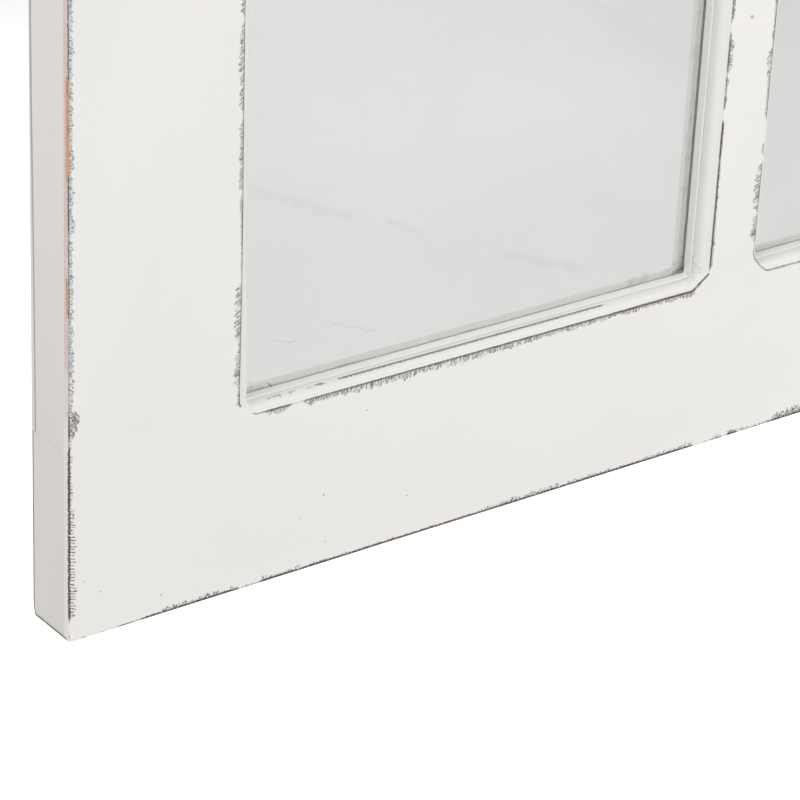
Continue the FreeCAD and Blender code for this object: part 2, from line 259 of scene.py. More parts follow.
OUT_SPANS = {
    "L": [(-244, -150, 2.3, .55), (-300, -244, 2.3, .6), (-316, -300, 2.1, .5), (-331, -316, 2.2, .6),
          (-364.8, -331, 2.2, .3), (-371.5, -364.8, 4.2, .55), (-376, -371.5, 3.1, .55), (-379.6, -376, 1.3, .25),
          (-405, -380.2, 1.5, .97), (-447.6, -405, 3.0, .97), (-456.5, -447.6, .0, .42)],
    "B": [(-299.5, -296.5, .6, .35), (-291, -288.5, 1.2, .5), (-286, -275, .9, .45), (-273, -266, 1.6, .95),
          (-266, -233, 2.5, .9), (-231, -223, 1.2, .45), (-223, -205, 2.3, .9), (-205, -160, 1.8, 1.0),
          (-160, -117, 1.6, .95), (-117, -80, 2.6, .9), (-80, -37, 2.1, 1.0), (-37, -11, 2.4, .85), (-9, -2, .6, .3),
          (-1, 4.5, 2.4, .5), (6, 11, 3.0, .8), (11, 30, 1.7, .35), (31, 60, 3.8, .8)],
}
OUT_BROWN = {
    "L": [(-280, -242, 1.0), (-300, -278, .40), (-331, -314, .75), (-367.4, -365.0, .70)],
    "B": [(-176, -116, .85), (-29, -9, .7)],
}
OUT_THIN = {
    "L": [(-352, -120, 1.0, 0), (-369, -352, .45, 0)],
    "B": [],
}


def generic_wear(t, seed):
    a = vnoise(t / 34.0, seed)
    b = vnoise(t / 9.0, seed + 1)
    return np.clip((0.75 * a + 0.5 * b - 0.36) * 3.6, 0, 2.6)


def generic_line(t, seed):
    return np.clip(vnoise(t / 24.0, seed + 2) * 1.1 + vnoise(t / 6.0, seed + 3) * 0.5 - 0.25, 0, 1)


def pane_wear(which, side, t):
    """Reach of the marks, arris line and bare wood along the panes' face arrises."""
    w, ln, b = np.zeros(t.shape), np.zeros(t.shape), np.zeros(t.shape)
    for k in range(len(OPEN)):
        for n, s in enumerate("LRBT"):
            m = (which == k) & (side == n)
            if not m.any():
                continue
            tt = t[m]
            seed = 200 + 17 * k + 5 * n
            gen, gl = generic_wear(tt, seed), generic_line(tt, seed)
            br = np.clip((vnoise(tt / 17.0, 500 + 13 * k + n) - 0.72) * 2.6, 0, 0.7) * np.minimum(gen, 1)
            if (k, s) in PANE_SPANS:
                if s in "LR":
                    known = 1 - smooth(-205, -180, tt)
                else:
                    known = np.ones(tt.shape) if k == 0 else 1 - smooth(55, 75, tt)
                sp = PANE_SPANS[(k, s)]
                gen = windows(tt, sp, 1.0) * known + gen * (1 - known)
                gl = windows(tt, sp, 1.0, 3) * known + gl * (1 - known)
                br = windows(tt, PANE_BROWN.get((k, s), []), 1.5) * known + br * (1 - known)
            w[m], ln[m], b[m] = gen, gl, br
    return w, ln, b


def outer_wear(side, t):
    """The same along the outside of the sash, and how thin the paint is beside the arris."""
    w, ln, b, th = np.zeros(t.shape), np.zeros(t.shape), np.zeros(t.shape), np.zeros(t.shape)
    for n, s in enumerate("LRBT"):
        m = side == n
        if not m.any():
            continue
        tt = t[m]
        seed = 700 + 31 * n
        gen, gl = generic_wear(tt, seed), generic_line(tt, seed)
        br = np.clip((vnoise(tt / 30.0, 800 + n) - 0.55) * 2.6, 0, 1.0) * np.minimum(gen, 1)
        thin = np.clip((vnoise(tt / 60.0, 850 + n) - 0.35) * 2.2, 0, 1.0)
        if s in OUT_SPANS:
            known = 1 - smooth(-215, -160, tt) if s == "L" else 1 - smooth(55, 75, tt)
            gen = windows(tt, OUT_SPANS[s], 0.8) * known + gen * (1 - known)
            gl = windows(tt, OUT_SPANS[s], 0.8, 3) * known + gl * (1 - known)
            long = windows(tt, [q for q in OUT_BROWN[s] if q[1] - q[0] > 10], 5.0)
            short = windows(tt, [q for q in OUT_BROWN[s] if q[1] - q[0] <= 10], 0.8)
            br = np.maximum(long, short) * known + br * (1 - known)
            thin = windows(tt, OUT_THIN[s], 6.0) * known + thin * (1 - known)
        w[m], ln[m], b[m], th[m] = gen, gl, br, thin
    return w, ln, b, th


# ---------------------------------------------------------------------------
# mesh of one wooden member, from its front and rear relief
# ---------------------------------------------------------------------------
def loop_points(x0, x1, z0, z1, r, step, arc, power=(2, 2, 2, 2)):
    """Closed round-cornered loop with even points."""
    pts = []
    r = [max(float(v), 0.0) for v in (r if np.ndim(r) else [r] * 4)]

    def line(ax, az, bx, bz):
        n = max(1, int(math.ceil(math.hypot(bx - ax, bz - az) / step)))
        for i in range(n):
            f = i / n
            pts.append((ax + (bx - ax) * f, az + (bz - az) * f))

    def turn(cx, cz, a0, c):
        if r[c] < 1e-6:
            return
        for i in range(arc):
            a = math.radians(a0 + 90.0 * i / arc)
            ca, sa = math.cos(a), math.sin(a)
            pts.append((cx + r[c] * math.copysign(abs(ca) ** (2 / power[c]), ca),
                        cz + r[c] * math.copysign(abs(sa) ** (2 / power[c]), sa)))
    line(x0 + r[0], z0, x1 - r[1], z0)
    turn(x1 - r[1], z0 + r[1], -90, 1)
    line(x1, z0 + r[1], x1, z1 - r[2])
    turn(x1 - r[2], z1 - r[2], 0, 2)
    line(x1 - r[2], z1, x0 + r[3], z1)
    turn(x0 + r[3], z1 - r[3], 90, 3)
    line(x0, z1 - r[3], x0, z0 + r[0])
    turn(x0 + r[0], z0 + r[0], 180, 0)
    return pts


def clip_seg(a, b, R):
    """Part of a segment inside a rectangle, or None."""
    x0, x1, z0, z1 = R
    dx, dz = b[0] - a[0], b[1] - a[1]
    t0, t1 = 0.0, 1.0
    for p, q in ((-dx, a[0] - x0), (dx, x1 - a[0]), (-dz, a[1] - z0), (dz, z1 - a[1])):
        if abs(p) < 1e-12:
            if q < -1e-9:
                return None
        else:
            t = q / p
            if p < 0:
                t0 = max(t0, t)
            else:
                t1 = min(t1, t)
    if t1 - t0 < 1e-9:
        return None
    return ((a[0] + dx * t0, a[1] + dz * t0), (a[0] + dx * t1, a[1] + dz * t1))


def clip_loop(pts, R, closed=True):
    segs = []
    n = len(pts)
    for i in range(n if closed else n - 1):
        s = clip_seg(pts[i], pts[(i + 1) % n], R)
        if s:
            segs.append(s)
    return segs


def on_edge(p, R, tol=2e-4):
    return (abs(p[0] - R[0]) < tol or abs(p[0] - R[1]) < tol or abs(p[1] - R[2]) < tol or abs(p[1] - R[3]) < tol)


def boundary(R, extra, round_corners, step):
    """Ordered outline of a member with every crossing point on it."""
    x0, x1, z0, z1 = R
    base = []

    def side(ax, az, bx, bz):
        L = math.hypot(bx - ax, bz - az)
        ts = set(np.linspace(0, 1, int(math.ceil(L / step)) + 1)[:-1].tolist())
        dx, dz = (bx - ax) / L, (bz - az) / L
        marks = []
        for (px, pz) in extra:
            t = (px - ax) * dx + (pz - az) * dz
            if -1e-4 < t < L + 1e-4 and abs((px - ax) * dz - (pz - az) * dx) < 3e-4:
                marks.append(t / L)
        marks = sorted(m for m in marks if 0 <= m < 1 - 1e-7)
        keep = []
        for t in sorted(ts):
            if all(abs(t - m) * L > 0.25 for m in marks) or t == 0:
                keep.append(t)
        allt = []
        for t in sorted(keep + marks):
            if not allt or (t - allt[-1]) * L > 4e-3:
                allt.append(t)
        for t in allt:
            base.append((ax + (bx - ax) * t, az + (bz - az) * t))
    c = [(x0, z0), (x1, z0), (x1, z1), (x0, z1)]
    for i in range(4):
        a, b = c[i], c[(i + 1) % 4]
        ra = CORNER_R if round_corners[i] else 0.0
        rb = CORNER_R if round_corners[(i + 1) % 4] else 0.0
        L = math.hypot(b[0] - a[0], b[1] - a[1])
        dx, dz = (b[0] - a[0]) / L, (b[1] - a[1]) / L
        if ra:
            # arc round corner i, from the previous side to this one
            cx = a[0] + (CORNER_R if a[0] < (x0 + x1) / 2 else -CORNER_R)
            cz = a[1] + (CORNER_R if a[1] < (z0 + z1) / 2 else -CORNER_R)
            a0 = {0: 180, 1: 270, 2: 0, 3: 90}[i]
            for k in range(6):
                an = math.radians(a0 + 90.0 * k / 6)
                base.append((cx + CORNER_R * math.cos(an), cz + CORNER_R * math.sin(an)))
        side(a[0] + dx * ra, a[1] + dz * ra, b[0] - dx * rb, b[1] - dz * rb)
        if rb:
            base.append((b[0] - dx * rb, b[1] - dz * rb))
    out = []
    for p in base:
        if not out or math.hypot(p[0] - out[-1][0], p[1] - out[-1][1]) > 3e-3:
            out.append(p)
    if math.hypot(out[0][0] - out[-1][0], out[0][1] - out[-1][1]) < 3e-3:
        out.pop()
    return out


def triangulate(bound, segs):
    verts = []
    index = {}

    def vid(p):
        k = (round(p[0], 3), round(p[1], 3))
        if k not in index:
            index[k] = len(verts)
            verts.append(Vector((p[0], p[1])))
        return index[k]
    edges = []
    b = [vid(p) for p in bound]
    nb = len(b)
    for i in range(nb):
        edges.append((b[i], b[(i + 1) % nb]))
    for p, q in segs:
        i, j = vid(p), vid(q)
        if i != j:
            edges.append((i, j))
    co, _, faces, _, _, _ = delaunay_2d_cdt(verts, edges, [], 0, 5e-4)
    return np.array([(v.x, v.y) for v in co], float), [tuple(f) for f in faces]


WALL = (0.0, 0.012, 0.03, 0.055, 0.09, 0.14, 0.21, 0.32, 0.5, 0.7, 0.85, 0.94, 1.0)


def member(name, R, corners=(0, 0, 0, 0), stile=False, along="x"):
    x0, x1, z0, z1 = R
    step = 2.6
    fsegs, bsegs = [], []
    for k, (_, ox0, ox1, oz0, oz1) in enumerate(OPEN):
        if ox1 + 20 < x0 or ox0 - 20 > x1 or oz1 + 20 < z0 or oz0 - 20 > z1:
            continue
        for u in list(FACE_LINES) + [p[0] for p in PROF[:-1]]:
            e = MOULD - u
            fsegs += clip_loop(loop_points(ox0 - e, ox1 + e, oz0 - e, oz1 + e, corner_r(CR[k], u), step, 9, CP[k]), R)
        for e in (GLASS_LAP, GLASS_LAP - STEP):
            bsegs += clip_loop(loop_points(ox0 - e, ox1 + e, oz0 - e, oz1 + e, 0, 12.0, 1), R)
    for o in (0.06, 0.2, 0.42, 0.7, 1.0, 1.25, 1.7, 2.3, 3.1, 4.2, 6.0):
        fsegs += clip_loop(loop_points(-HW + o, HW - o, -HH + o, HH - o, max(CORNER_R - o, 0), step, 6), R)
    for o in (0.03, 0.1, 0.25, 0.42, 0.55, 0.8, 1.2, 1.7, 2.3, 3.1, 4.2, 6.5):
        bsegs += clip_loop(loop_points(-HW + o, HW - o, -HH + o, HH - o, max(CORNER_R - o, 0), 5.0, 6), R)
    for e in (0.0, -STEP):
        bsegs += clip_loop(loop_points(-PANEL_X - e, PANEL_X + e, -PANEL_Z - e, PANEL_Z + e, 0, 12.0, 1), R)
    extra = [p for s in fsegs + bsegs for p in s if on_edge(p, R)]
    bound = boundary(R, extra, corners, step)

    def inner(segs):
        """Segments lying along the outline are the outline's own."""
        out = []
        for p, q in segs:
            if on_edge(p, R) and on_edge(q, R) and (abs(p[0] - q[0]) < 1e-6 or abs(p[1] - q[1]) < 1e-6):
                if abs(p[0] - q[0]) < 1e-6 and (abs(p[0] - x0) < 2e-4 or abs(p[0] - x1) < 2e-4):
                    continue
                if abs(p[1] - q[1]) < 1e-6 and (abs(p[1] - z0) < 2e-4 or abs(p[1] - z1) < 2e-4):
                    continue
            out.append((p, q))
        return out
    fv, ff = triangulate(bound, inner(fsegs))
    bv, bf = triangulate(bound, inner(bsegs))

    def ring(v):
        """Index of each outline point in a triangulation."""
        idx = []
        for p in bound:
            d = np.hypot(v[:, 0] - p[0], v[:, 1] - p[1])
            i = int(d.argmin())
            if d[i] > 4e-3:
                raise RuntimeError("outline point lost on " + name)
            idx.append(i)
        return idx
    rf, rb = ring(fv), ring(bv)
    nb = len(bound)

    u, which = pane_fields(fv[:, 0], fv[:, 1])
    fd, fo = front_depth(fv[:, 0], fv[:, 1], u)
    bd = back_depth(bv[:, 0], bv[:, 1], stile)

    co = []
    kind = []                      # 0 front, 1 wall, 2 back
    for (x, z), d in zip(fv, fd):
        co.append((x, d, z))
        kind.append(0)
    boff = len(co)
    for (x, z), d in zip(bv, bd):
        co.append((x, d, z))
        kind.append(2)
    faces = [(a, b, c) for a, b, c in ff] + [(c + boff, b + boff, a + boff) for a, b, c in bf]
    cols = []
    for i in range(nb):
        x, z = bound[i]
        f, b = fd[rf[i]], bd[rb[i]]
        col = [rf[i]]
        for t in WALL[1:-1]:
            col.append(len(co))
            co.append((x, f + (b - f) * t, z))
            kind.append(1)
        col.append(rb[i] + boff)
        cols.append(col)
    for i in range(nb):
        a, b = cols[i], cols[(i + 1) % nb]
        for k in range(len(WALL) - 1):
            faces.append((a[k], a[k + 1], b[k + 1], b[k]))
    co = np.array(co)
    kind = np.array(kind)

    # fields for the paint and its wear
    x, d, z = co[:, 0], co[:, 1], co[:, 2]
    u, which = pane_fields(x, z)
    pl = np.where(u < PROF[0, 0], u + 0.15, np.interp(u, PROF[:, 0], PROF_L))
    pu = -pl                                       # + on the face, - down the moulding
    top = front_depth(x, z, u)[0]
    pu = np.where(kind == 1, pu - (d - top), pu)
    pu = np.where(kind == 2, -40.0, pu)
    ox0 = np.array([o[1] for o in OPEN])[which] - MOULD
    ox1 = np.array([o[2] for o in OPEN])[which] + MOULD
    oz0 = np.array([o[3] for o in OPEN])[which] - MOULD
    oz1 = np.array([o[4] for o in OPEN])[which] + MOULD
    ra = CR[which, corner_index(x, z, ox0, ox1, oz0, oz1)]
    qx = np.abs(x - (ox0 + ox1) / 2) - ((ox1 - ox0) / 2 - ra)
    qz = np.abs(z - (oz0 + oz1) / 2) - ((oz1 - oz0) / 2 - ra)
    sx = np.where(x < (ox0 + ox1) / 2, -1, 1)
    sz = np.where(z < (oz0 + oz1) / 2, -1, 1)
    vert = qx > qz
    side = np.where(vert, np.where(sx < 0, 0, 1), np.where(sz < 0, 2, 3))
    ang = np.arctan2(np.maximum(qz, 0), np.maximum(qx, 1e-6))
    cxz = (oz0 + oz1) / 2 + sz * ((oz1 - oz0) / 2 - ra)
    cxx = (ox0 + ox1) / 2 + sx * ((ox1 - ox0) / 2 - ra)
    in_corner = (qx > 0) & (qz > 0)
    # along each side, wrapped round the corners so that strokes stay square to the edge
    tv = np.where(in_corner, cxz + sz * ang * ra, z)
    th = np.where(in_corner, cxx + sx * (math.pi / 2 - ang) * ra, x)
    lean = np.where(vert, 0.46, 0.20)
    ps = np.where(vert, tv, th + 3000.0) + lean * np.clip(pu, 0, 12)
    pt = np.where(vert, np.where(in_corner, cxz + sz * np.abs(np.sin(ang)) * ra, z),
                  np.where(in_corner, cxx + sx * np.abs(np.cos(ang)) * ra, x))
    pw, pln, pb = pane_wear(which, side, pt)
    o = -sdf_round(x, z, -HW, HW, -HH, HH, CORNER_R)
    dist = np.stack([x + HW, HW - x, z + HH, HH - z])
    oside = dist.argmin(0)
    ot = np.where(oside < 2, z, x)
    ow, oln, ob, oth = outer_wear(oside, ot)
    arc = FRONT_R * math.pi / 4
    ou = np.where(o < FRONT_R, np.interp(o, [0, .06, .2, .42, .7, 1.0], np.array([-.78, -.4, -.12, .14, .44, .785]) * FRONT_R),
                  o - FRONT_R + arc)
    on_side = (kind == 1) & (o < 0.05)
    ou = np.where(on_side, -arc - (d - FRONT_R), ou)
    ou = np.where((kind == 1) & (o >= 0.05), 40.0, ou)
    ou = np.where(kind == 2, -40.0, ou)
    os_ = np.where(oside < 2, z, x + 3000.0) + np.where(oside < 2, 0.3, 0.12) * np.clip(ou, 0, 12)
    crown = np.zeros(len(co))
    mb = (which == 0) & (side == 2)
    crown[mb] = np.maximum(windows(x[mb], [(-186, -62, 1.0)], 5.0),
                           windows(x[mb], [(-222, -184, .62)], 3.0) * smooth(.45, .6, vnoise(x[mb] / 1.7, 31)))
    mo = ~mb
    crown[mo] = np.clip((vnoise(pt[mo] / 45.0 + which[mo] * 7 + side[mo] * 3, 33) - 0.66) * 4, 0, 0.9)
    crown[(which == 0) & (side == 1)] = 0
    crown[(which == 1) & (side == 2) & (x < 60)] = 0
    # rear arris of the outside: distance to its line, and how strongly painted shade darkens the bevel behind it
    bev = rear_bevel(x, z, stile)
    turned = 0 if stile else rear_round(z)
    rear = np.where(on_side, (THICK - bev - turned) - d,
                    np.where((kind == 2) & (o < 1.3), -np.clip(o, 0, 0.25) / 0.25 * bev, 40.0))
    if stile:
        shade = 1 - smooth(255, 330, np.abs(z))
    else:
        shade = np.ones(len(co))
    # upright arrises at the four corners of the sash, for the shade painted on their rounding
    cd = np.hypot(np.maximum(np.abs(x) - (HW - CORNER_R), 0), np.maximum(np.abs(z) - (HH - CORNER_R), 0))
    ca = np.degrees(np.arctan2(np.abs(z) - (HH - CORNER_R), np.abs(x) - (HW - CORNER_R)))
    corner = np.where(on_side & (np.abs(x) > HW - CORNER_R - 1e-6) & (np.abs(z) > HH - CORNER_R - 1e-6),
                      1 - np.clip(np.abs(ca - 50) / 50.0, 0, 1), 0.0)
    raw = np.zeros(len(co))
    inside_panel = (np.abs(x) < PANEL_X + 0.2) & (np.abs(z) < PANEL_Z + 0.2)
    raw[(kind == 2) & inside_panel & (d > PANEL_D - 0.5)] = 1.0
    if along == "x":
        grain = np.stack([x, z, d], 1)
    else:
        grain = np.stack([z, x, d], 1)

    me = bpy.data.meshes.new(name)
    verts = np.stack([x + sway(x, z, d), Y_FRONT + d, z], 1) / 1000.0
    me.from_pydata(verts.tolist(), [], faces)

    def vec(label, a, b, c):
        at = me.attributes.new(label, "FLOAT_VECTOR", "POINT")
        at.data.foreach_set("vector", np.stack([a, b, c], 1).astype(np.float32).ravel())
    vec("pane", pu, ps, pw)
    vec("outer", ou, os_, ow)
    vec("edge", pln, oln, crown)
    vec("extra", np.where(np.abs(pu) < 6, pb, np.where(np.abs(ou) < 8, ob, 0.0)), raw, oth)
    vec("rear", rear, shade, corner)
    vec("grain", grain[:, 0], grain[:, 1], grain[:, 2])
    bm = bmesh.new()
    bm.from_mesh(me)
    bmesh.ops.remove_doubles(bm, verts=bm.verts, dist=4e-7)
    bmesh.ops.dissolve_degenerate(bm, edges=bm.edges, dist=2e-7)
    bmesh.ops.recalc_face_normals(bm, faces=bm.faces)
    bmesh.ops.holes_fill(bm, edges=[e for e in bm.edges if len(e.link_faces) == 1], sides=8)
    bmesh.ops.recalc_face_normals(bm, faces=bm.faces)
    open_edges = sum(1 for e in bm.edges if len(e.link_faces) != 2)
    bm.to_mesh(me)
    bm.free()
    me.update()
    ob_ = bpy.data.objects.new(name + "_painted", me)
    bpy.context.scene.collection.objects.link(ob_)
    for p in me.polygons:
        p.use_smooth = True
    me.set_sharp_from_angle(angle=math.radians(38))
    wn = ob_.modifiers.new("soft_arrises", "WEIGHTED_NORMAL")
    wn.keep_sharp = True
    wn.weight = 80
    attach(ob_, "sash")
    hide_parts(name)
    print("MEMBER", name, len(me.vertices), len(me.polygons), "open edges", open_edges)
    return ob_


# ---------------------------------------------------------------------------
# shader helpers
# ---------------------------------------------------------------------------
class Nodes:
    def __init__(self, name):
        self.mat = bpy.data.materials.new(name)
        self.mat.use_nodes = True
        self.nt = self.mat.node_tree
        self.nt.nodes.clear()
        self.out = self.nt.nodes.new("ShaderNodeOutputMaterial")
        self.bsdf = self.nt.nodes.new("ShaderNodeBsdfPrincipled")
        self.nt.links.new(self.bsdf.outputs[0], self.out.inputs[0])

    def put(self, sock, v):
        if isinstance(v, bpy.types.NodeSocket):
            self.nt.links.new(v, sock)
        else:
            sock.default_value = v

    def math(self, op, a, b=0.0, c=None, clamp=False):
        n = self.nt.nodes.new("ShaderNodeMath")
        n.operation = op
        n.use_clamp = clamp
        self.put(n.inputs[0], a)
        self.put(n.inputs[1], b)
        if c is not None:
            self.put(n.inputs[2], c)
        return n.outputs[0]

    def add(self, a, b): return self.math("ADD", a, b)
    def sub(self, a, b): return self.math("SUBTRACT", a, b)
    def mul(self, a, b): return self.math("MULTIPLY", a, b)
    def mx(self, a, b): return self.math("MAXIMUM", a, b)
    def mn(self, a, b): return self.math("MINIMUM", a, b)
    def absv(self, a): return self.math("ABSOLUTE", a)

    def ramp(self, v, lo, hi, to0=0.0, to1=1.0, soft=True):
        n = self.nt.nodes.new("ShaderNodeMapRange")
        n.interpolation_type = "SMOOTHSTEP" if soft else "LINEAR"
        n.clamp = True
        self.put(n.inputs["Value"], v)
        self.put(n.inputs["From Min"], lo)
        self.put(n.inputs["From Max"], hi)
        self.put(n.inputs["To Min"], to0)
        self.put(n.inputs["To Max"], to1)
        return n.outputs["Result"]

    def attr(self, name):
        n = self.nt.nodes.new("ShaderNodeAttribute")
        n.attribute_name = name
        s = self.nt.nodes.new("ShaderNodeSeparateXYZ")
        self.nt.links.new(n.outputs["Vector"], s.inputs[0])
        return s.outputs[0], s.outputs[1], s.outputs[2]

    def position(self):
        n = self.nt.nodes.new("ShaderNodeTexCoord")
        s = self.nt.nodes.new("ShaderNodeSeparateXYZ")
        self.nt.links.new(n.outputs["Object"], s.inputs[0])
        return n.outputs["Object"], s.outputs[0], s.outputs[1], s.outputs[2]

    def vec(self, x, y, z):
        n = self.nt.nodes.new("ShaderNodeCombineXYZ")
        for i, v in enumerate((x, y, z)):
            self.put(n.inputs[i], v)
        return n.outputs[0]

    def noise(self, v, scale=1.0, detail=2.0, rough=0.5, distort=0.0):
        n = self.nt.nodes.new("ShaderNodeTexNoise")
        n.noise_dimensions = "3D"
        self.put(n.inputs["Vector"], v)
        n.inputs["Scale"].default_value = scale
        n.inputs["Detail"].default_value = detail
        n.inputs["Roughness"].default_value = rough
        n.inputs["Distortion"].default_value = distort
        return n.outputs["Fac"]

    def voronoi(self, v, scale=1.0, feature="F1"):
        n = self.nt.nodes.new("ShaderNodeTexVoronoi")
        n.feature = feature
        self.put(n.inputs["Vector"], v)
        n.inputs["Scale"].default_value = scale
        return n.outputs

    def mix(self, f, a, b):
        n = self.nt.nodes.new("ShaderNodeMix")
        n.data_type = "RGBA"
        n.clamp_factor = True
        self.put(n.inputs[0], f)
        for s, v in ((n.inputs[6], a), (n.inputs[7], b)):
            if isinstance(v, tuple):
                v = (*v, 1.0) if len(v) == 3 else v
            self.put(s, v)
        return n.outputs[2]

    def bump(self, height, strength, dist, normal=None):
        n = self.nt.nodes.new("ShaderNodeBump")
        n.inputs["Strength"].default_value = strength
        n.inputs["Distance"].default_value = dist
        self.put(n.inputs["Height"], height)
        if normal is not None:
            self.put(n.inputs["Normal"], normal)
        return n.outputs[0]

    def set(self, **kw):
        for k, v in kw.items():
            self.put(self.bsdf.inputs[k.replace("_", " ")], (*v, 1.0) if isinstance(v, tuple) and len(v) == 3 else v)


def srgb(r, g, b):
    def f(c):
        c /= 255.0
        return c / 12.92 if c <= 0.04045 else ((c + 0.055) / 1.055) ** 2.4
    return (f(r), f(g), f(b))


# ---------------------------------------------------------------------------
# off-white paint over a charcoal undercoat over orange-brown wood
# ---------------------------------------------------------------------------
def paint_material():
    m = Nodes("rubbed_white_paint")
    pu, ps, preach = m.attr("pane")
    ou, os_, oreach = m.attr("outer")
    pline, oline, crown = m.attr("edge")
    brown, _, thin_s = m.attr("extra")
    rear, rshade, corner = m.attr("rear")
    ga, gc, gd = m.attr("grain")
    wood_n = m.noise(m.vec(m.mul(ga, 0.012), m.mul(gc, 0.35), m.mul(gd, 0.35)), 1.0, 4.0, 0.6, 0.4)
    fine_n = m.noise(m.vec(m.mul(ga, 0.10), m.mul(gc, 1.6), m.mul(gd, 1.6)), 1.0, 3.0, 0.6)
    wood = m.mix(m.ramp(wood_n, 0.35, 0.68), srgb(226, 184, 146), srgb(206, 158, 118))
    wood = m.mix(m.mul(m.ramp(fine_n, 0.50, 0.70), 0.75), wood, srgb(150, 98, 64))

    # face arris of the panes: a comb of rub marks square to the edge
    upos = m.mx(pu, 0.0)
    n1 = m.noise(m.vec(m.mul(ps, 2.3), m.mul(upos, 0.28), 1.3), 1.0, 0.0)
    n2 = m.noise(m.vec(m.mul(ps, 0.85), 0.0, 4.4), 1.0, 1.0)
    n3 = m.noise(m.vec(m.mul(ps, 0.13), 0.0, 7.9), 1.0, 1.0)
    n4 = m.noise(m.vec(m.mul(ps, 2.9), m.mul(upos, 2.2), 9.3), 1.0, 1.0)
    reach = m.mul(m.mul(preach, m.ramp(n2, 0.25, 0.75, 0.62, 1.28, False)), m.ramp(n3, 0.3, 0.7, 0.78, 1.15))
    inreach = m.mul(m.ramp(m.sub(reach, upos), -0.05, 0.42), m.ramp(pu, -0.42, -0.12))
    fill = m.ramp(upos, 1.3, 0.1, 0.16, 0.68)
    h1 = m.mul(inreach, m.mx(m.ramp(n1, 0.43, 0.53), fill))
    h1 = m.mul(h1, m.ramp(n4, 0.40, 0.48, 0.18, 1.0))
    h1 = m.mul(h1, m.ramp(preach, 0.05, 0.35))
    # the arris line itself
    ln = m.noise(m.vec(m.mul(ps, 0.42), 0.0, 5.5), 1.0, 2.0, 0.6)
    wob = m.mul(m.sub(m.noise(m.vec(m.mul(ps, 0.9), 0.0, 6.6), 1.0, 1.0), 0.5), 0.55)
    line1 = m.mul(m.ramp(m.sub(m.ramp(pline, 0.3, 1.0, 0.20, 0.48, False), m.absv(m.add(m.sub(pu, 0.06), wob))), -0.12, 0.20),
                  m.mul(pline, m.ramp(m.add(pline, m.mul(m.sub(ln, 0.5), 1.1)), 0.28, 0.58)))
    # worn line on the round of the moulding
    cn = m.noise(m.vec(m.mul(ps, 1.2), m.mul(pu, 0.5), 14.0), 1.0, 2.0, 0.6)
    ct = m.noise(m.vec(m.mul(ps, 1.7), 0.0, 15.0), 1.0, 0.0)
    cpos = m.add(pu, 4.95)
    up = m.add(0.50, m.mul(m.ramp(ct, 0.42, 0.62), 0.60))       # small teeth towards the face
    cl = m.mul(m.mul(m.ramp(m.sub(up, cpos), 0.0, 0.25), m.ramp(m.add(cpos, m.mul(m.sub(cn, 0.5), 0.3)), -0.50, -0.28)),
               m.ramp(m.add(crown, m.mul(m.sub(cn, 0.5), 0.8)), 0.32, 0.60))

    # outer arris
    level = m.ramp(os_, 1500.0, 1600.0)                         # 1 along the level edges
    opos = m.mx(ou, 0.0)
    q1 = m.noise(m.vec(m.mul(os_, 1.9), m.mul(opos, 0.75), 21.9), 1.0, 1.0)
    q2 = m.noise(m.vec(m.mul(os_, 0.75), 0.0, 24.4), 1.0, 1.0)
    q3 = m.noise(m.vec(m.mul(os_, 0.12), 0.0, 27.9), 1.0, 1.0)
    q4 = m.noise(m.vec(m.mul(os_, 2.1), m.mul(ou, 1.9), 29.3), 1.0, 1.0)
    reach2 = m.mul(m.mul(oreach, m.ramp(q2, 0.25, 0.75, 0.62, 1.28, False)), m.ramp(q3, 0.3, 0.7, 0.78, 1.15))
    inreach2 = m.mul(m.mul(m.ramp(m.sub(reach2, opos), -0.05, 0.40), m.ramp(ou, -0.35, 0.1)), m.ramp(oreach, 0.05, 0.35))
    comb = m.mul(m.ramp(oline, 0.92, 0.98), m.sub(1.0, level))  # long thin strokes
    blot = m.ramp(oreach, 2.5, 3.0, 0.0, 0.07)
    st = m.mul(m.ramp(m.add(q1, blot), 0.45, 0.56), m.ramp(q4, 0.34, 0.48, 0.25, 1.0))
    st = m.mx(st, m.ramp(opos, 1.0, 0.1, 0.0, 0.55))
    wave = m.math("SINE", m.add(m.mul(os_, 5.0), m.mul(m.noise(m.vec(m.mul(os_, 0.55), m.mul(opos, 0.3), 81.0), 1.0, 1.0), 9.0)))
    ct2 = m.mul(m.ramp(wave, 0.25, 0.70), m.ramp(q4, 0.30, 0.44, 0.55, 1.0))
    st = m.add(m.mul(st, m.sub(1.0, comb)), m.mul(ct2, comb))
    h2 = m.mul(m.mul(inreach2, st), m.sub(1.0, m.mul(level, m.ramp(oreach, 2.3, 1.9, 0.0, 0.12))))
    pale2 = m.mul(m.mul(inreach2, thin_s), 0.62)
    lo = m.noise(m.vec(m.mul(os_, 0.45), m.mul(ou, 0.5), 35.5), 1.0, 2.0, 0.6)
    owob = m.mul(m.sub(m.noise(m.vec(m.mul(os_, 0.95), 0.0, 36.6), 1.0, 2.0, 0.6), 0.5), 0.85)
    wide = m.add(m.ramp(oline, 0.4, 1.0, 0.20, 0.56), m.mul(level, 0.36))       # half width of the line
    mid = m.add(0.14, m.mul(level, 0.22))
    line2 = m.mul(m.ramp(m.sub(wide, m.absv(m.add(m.sub(ou, mid), owob))), -0.05, 0.22),
                  m.ramp(m.add(oline, m.mul(m.sub(lo, 0.5), 1.0)), 0.30, 0.52))
    line2 = m.mul(line2, m.ramp(oline, 0.0, 0.55, 0.35, 1.0))
    chip = m.noise(m.vec(m.mul(os_, 1.15), m.mul(ou, 1.5), 71.0), 1.0, 2.0, 0.6)
    line2 = m.mul(line2, m.ramp(chip, 0.34, 0.43, 0.10, 1.0))
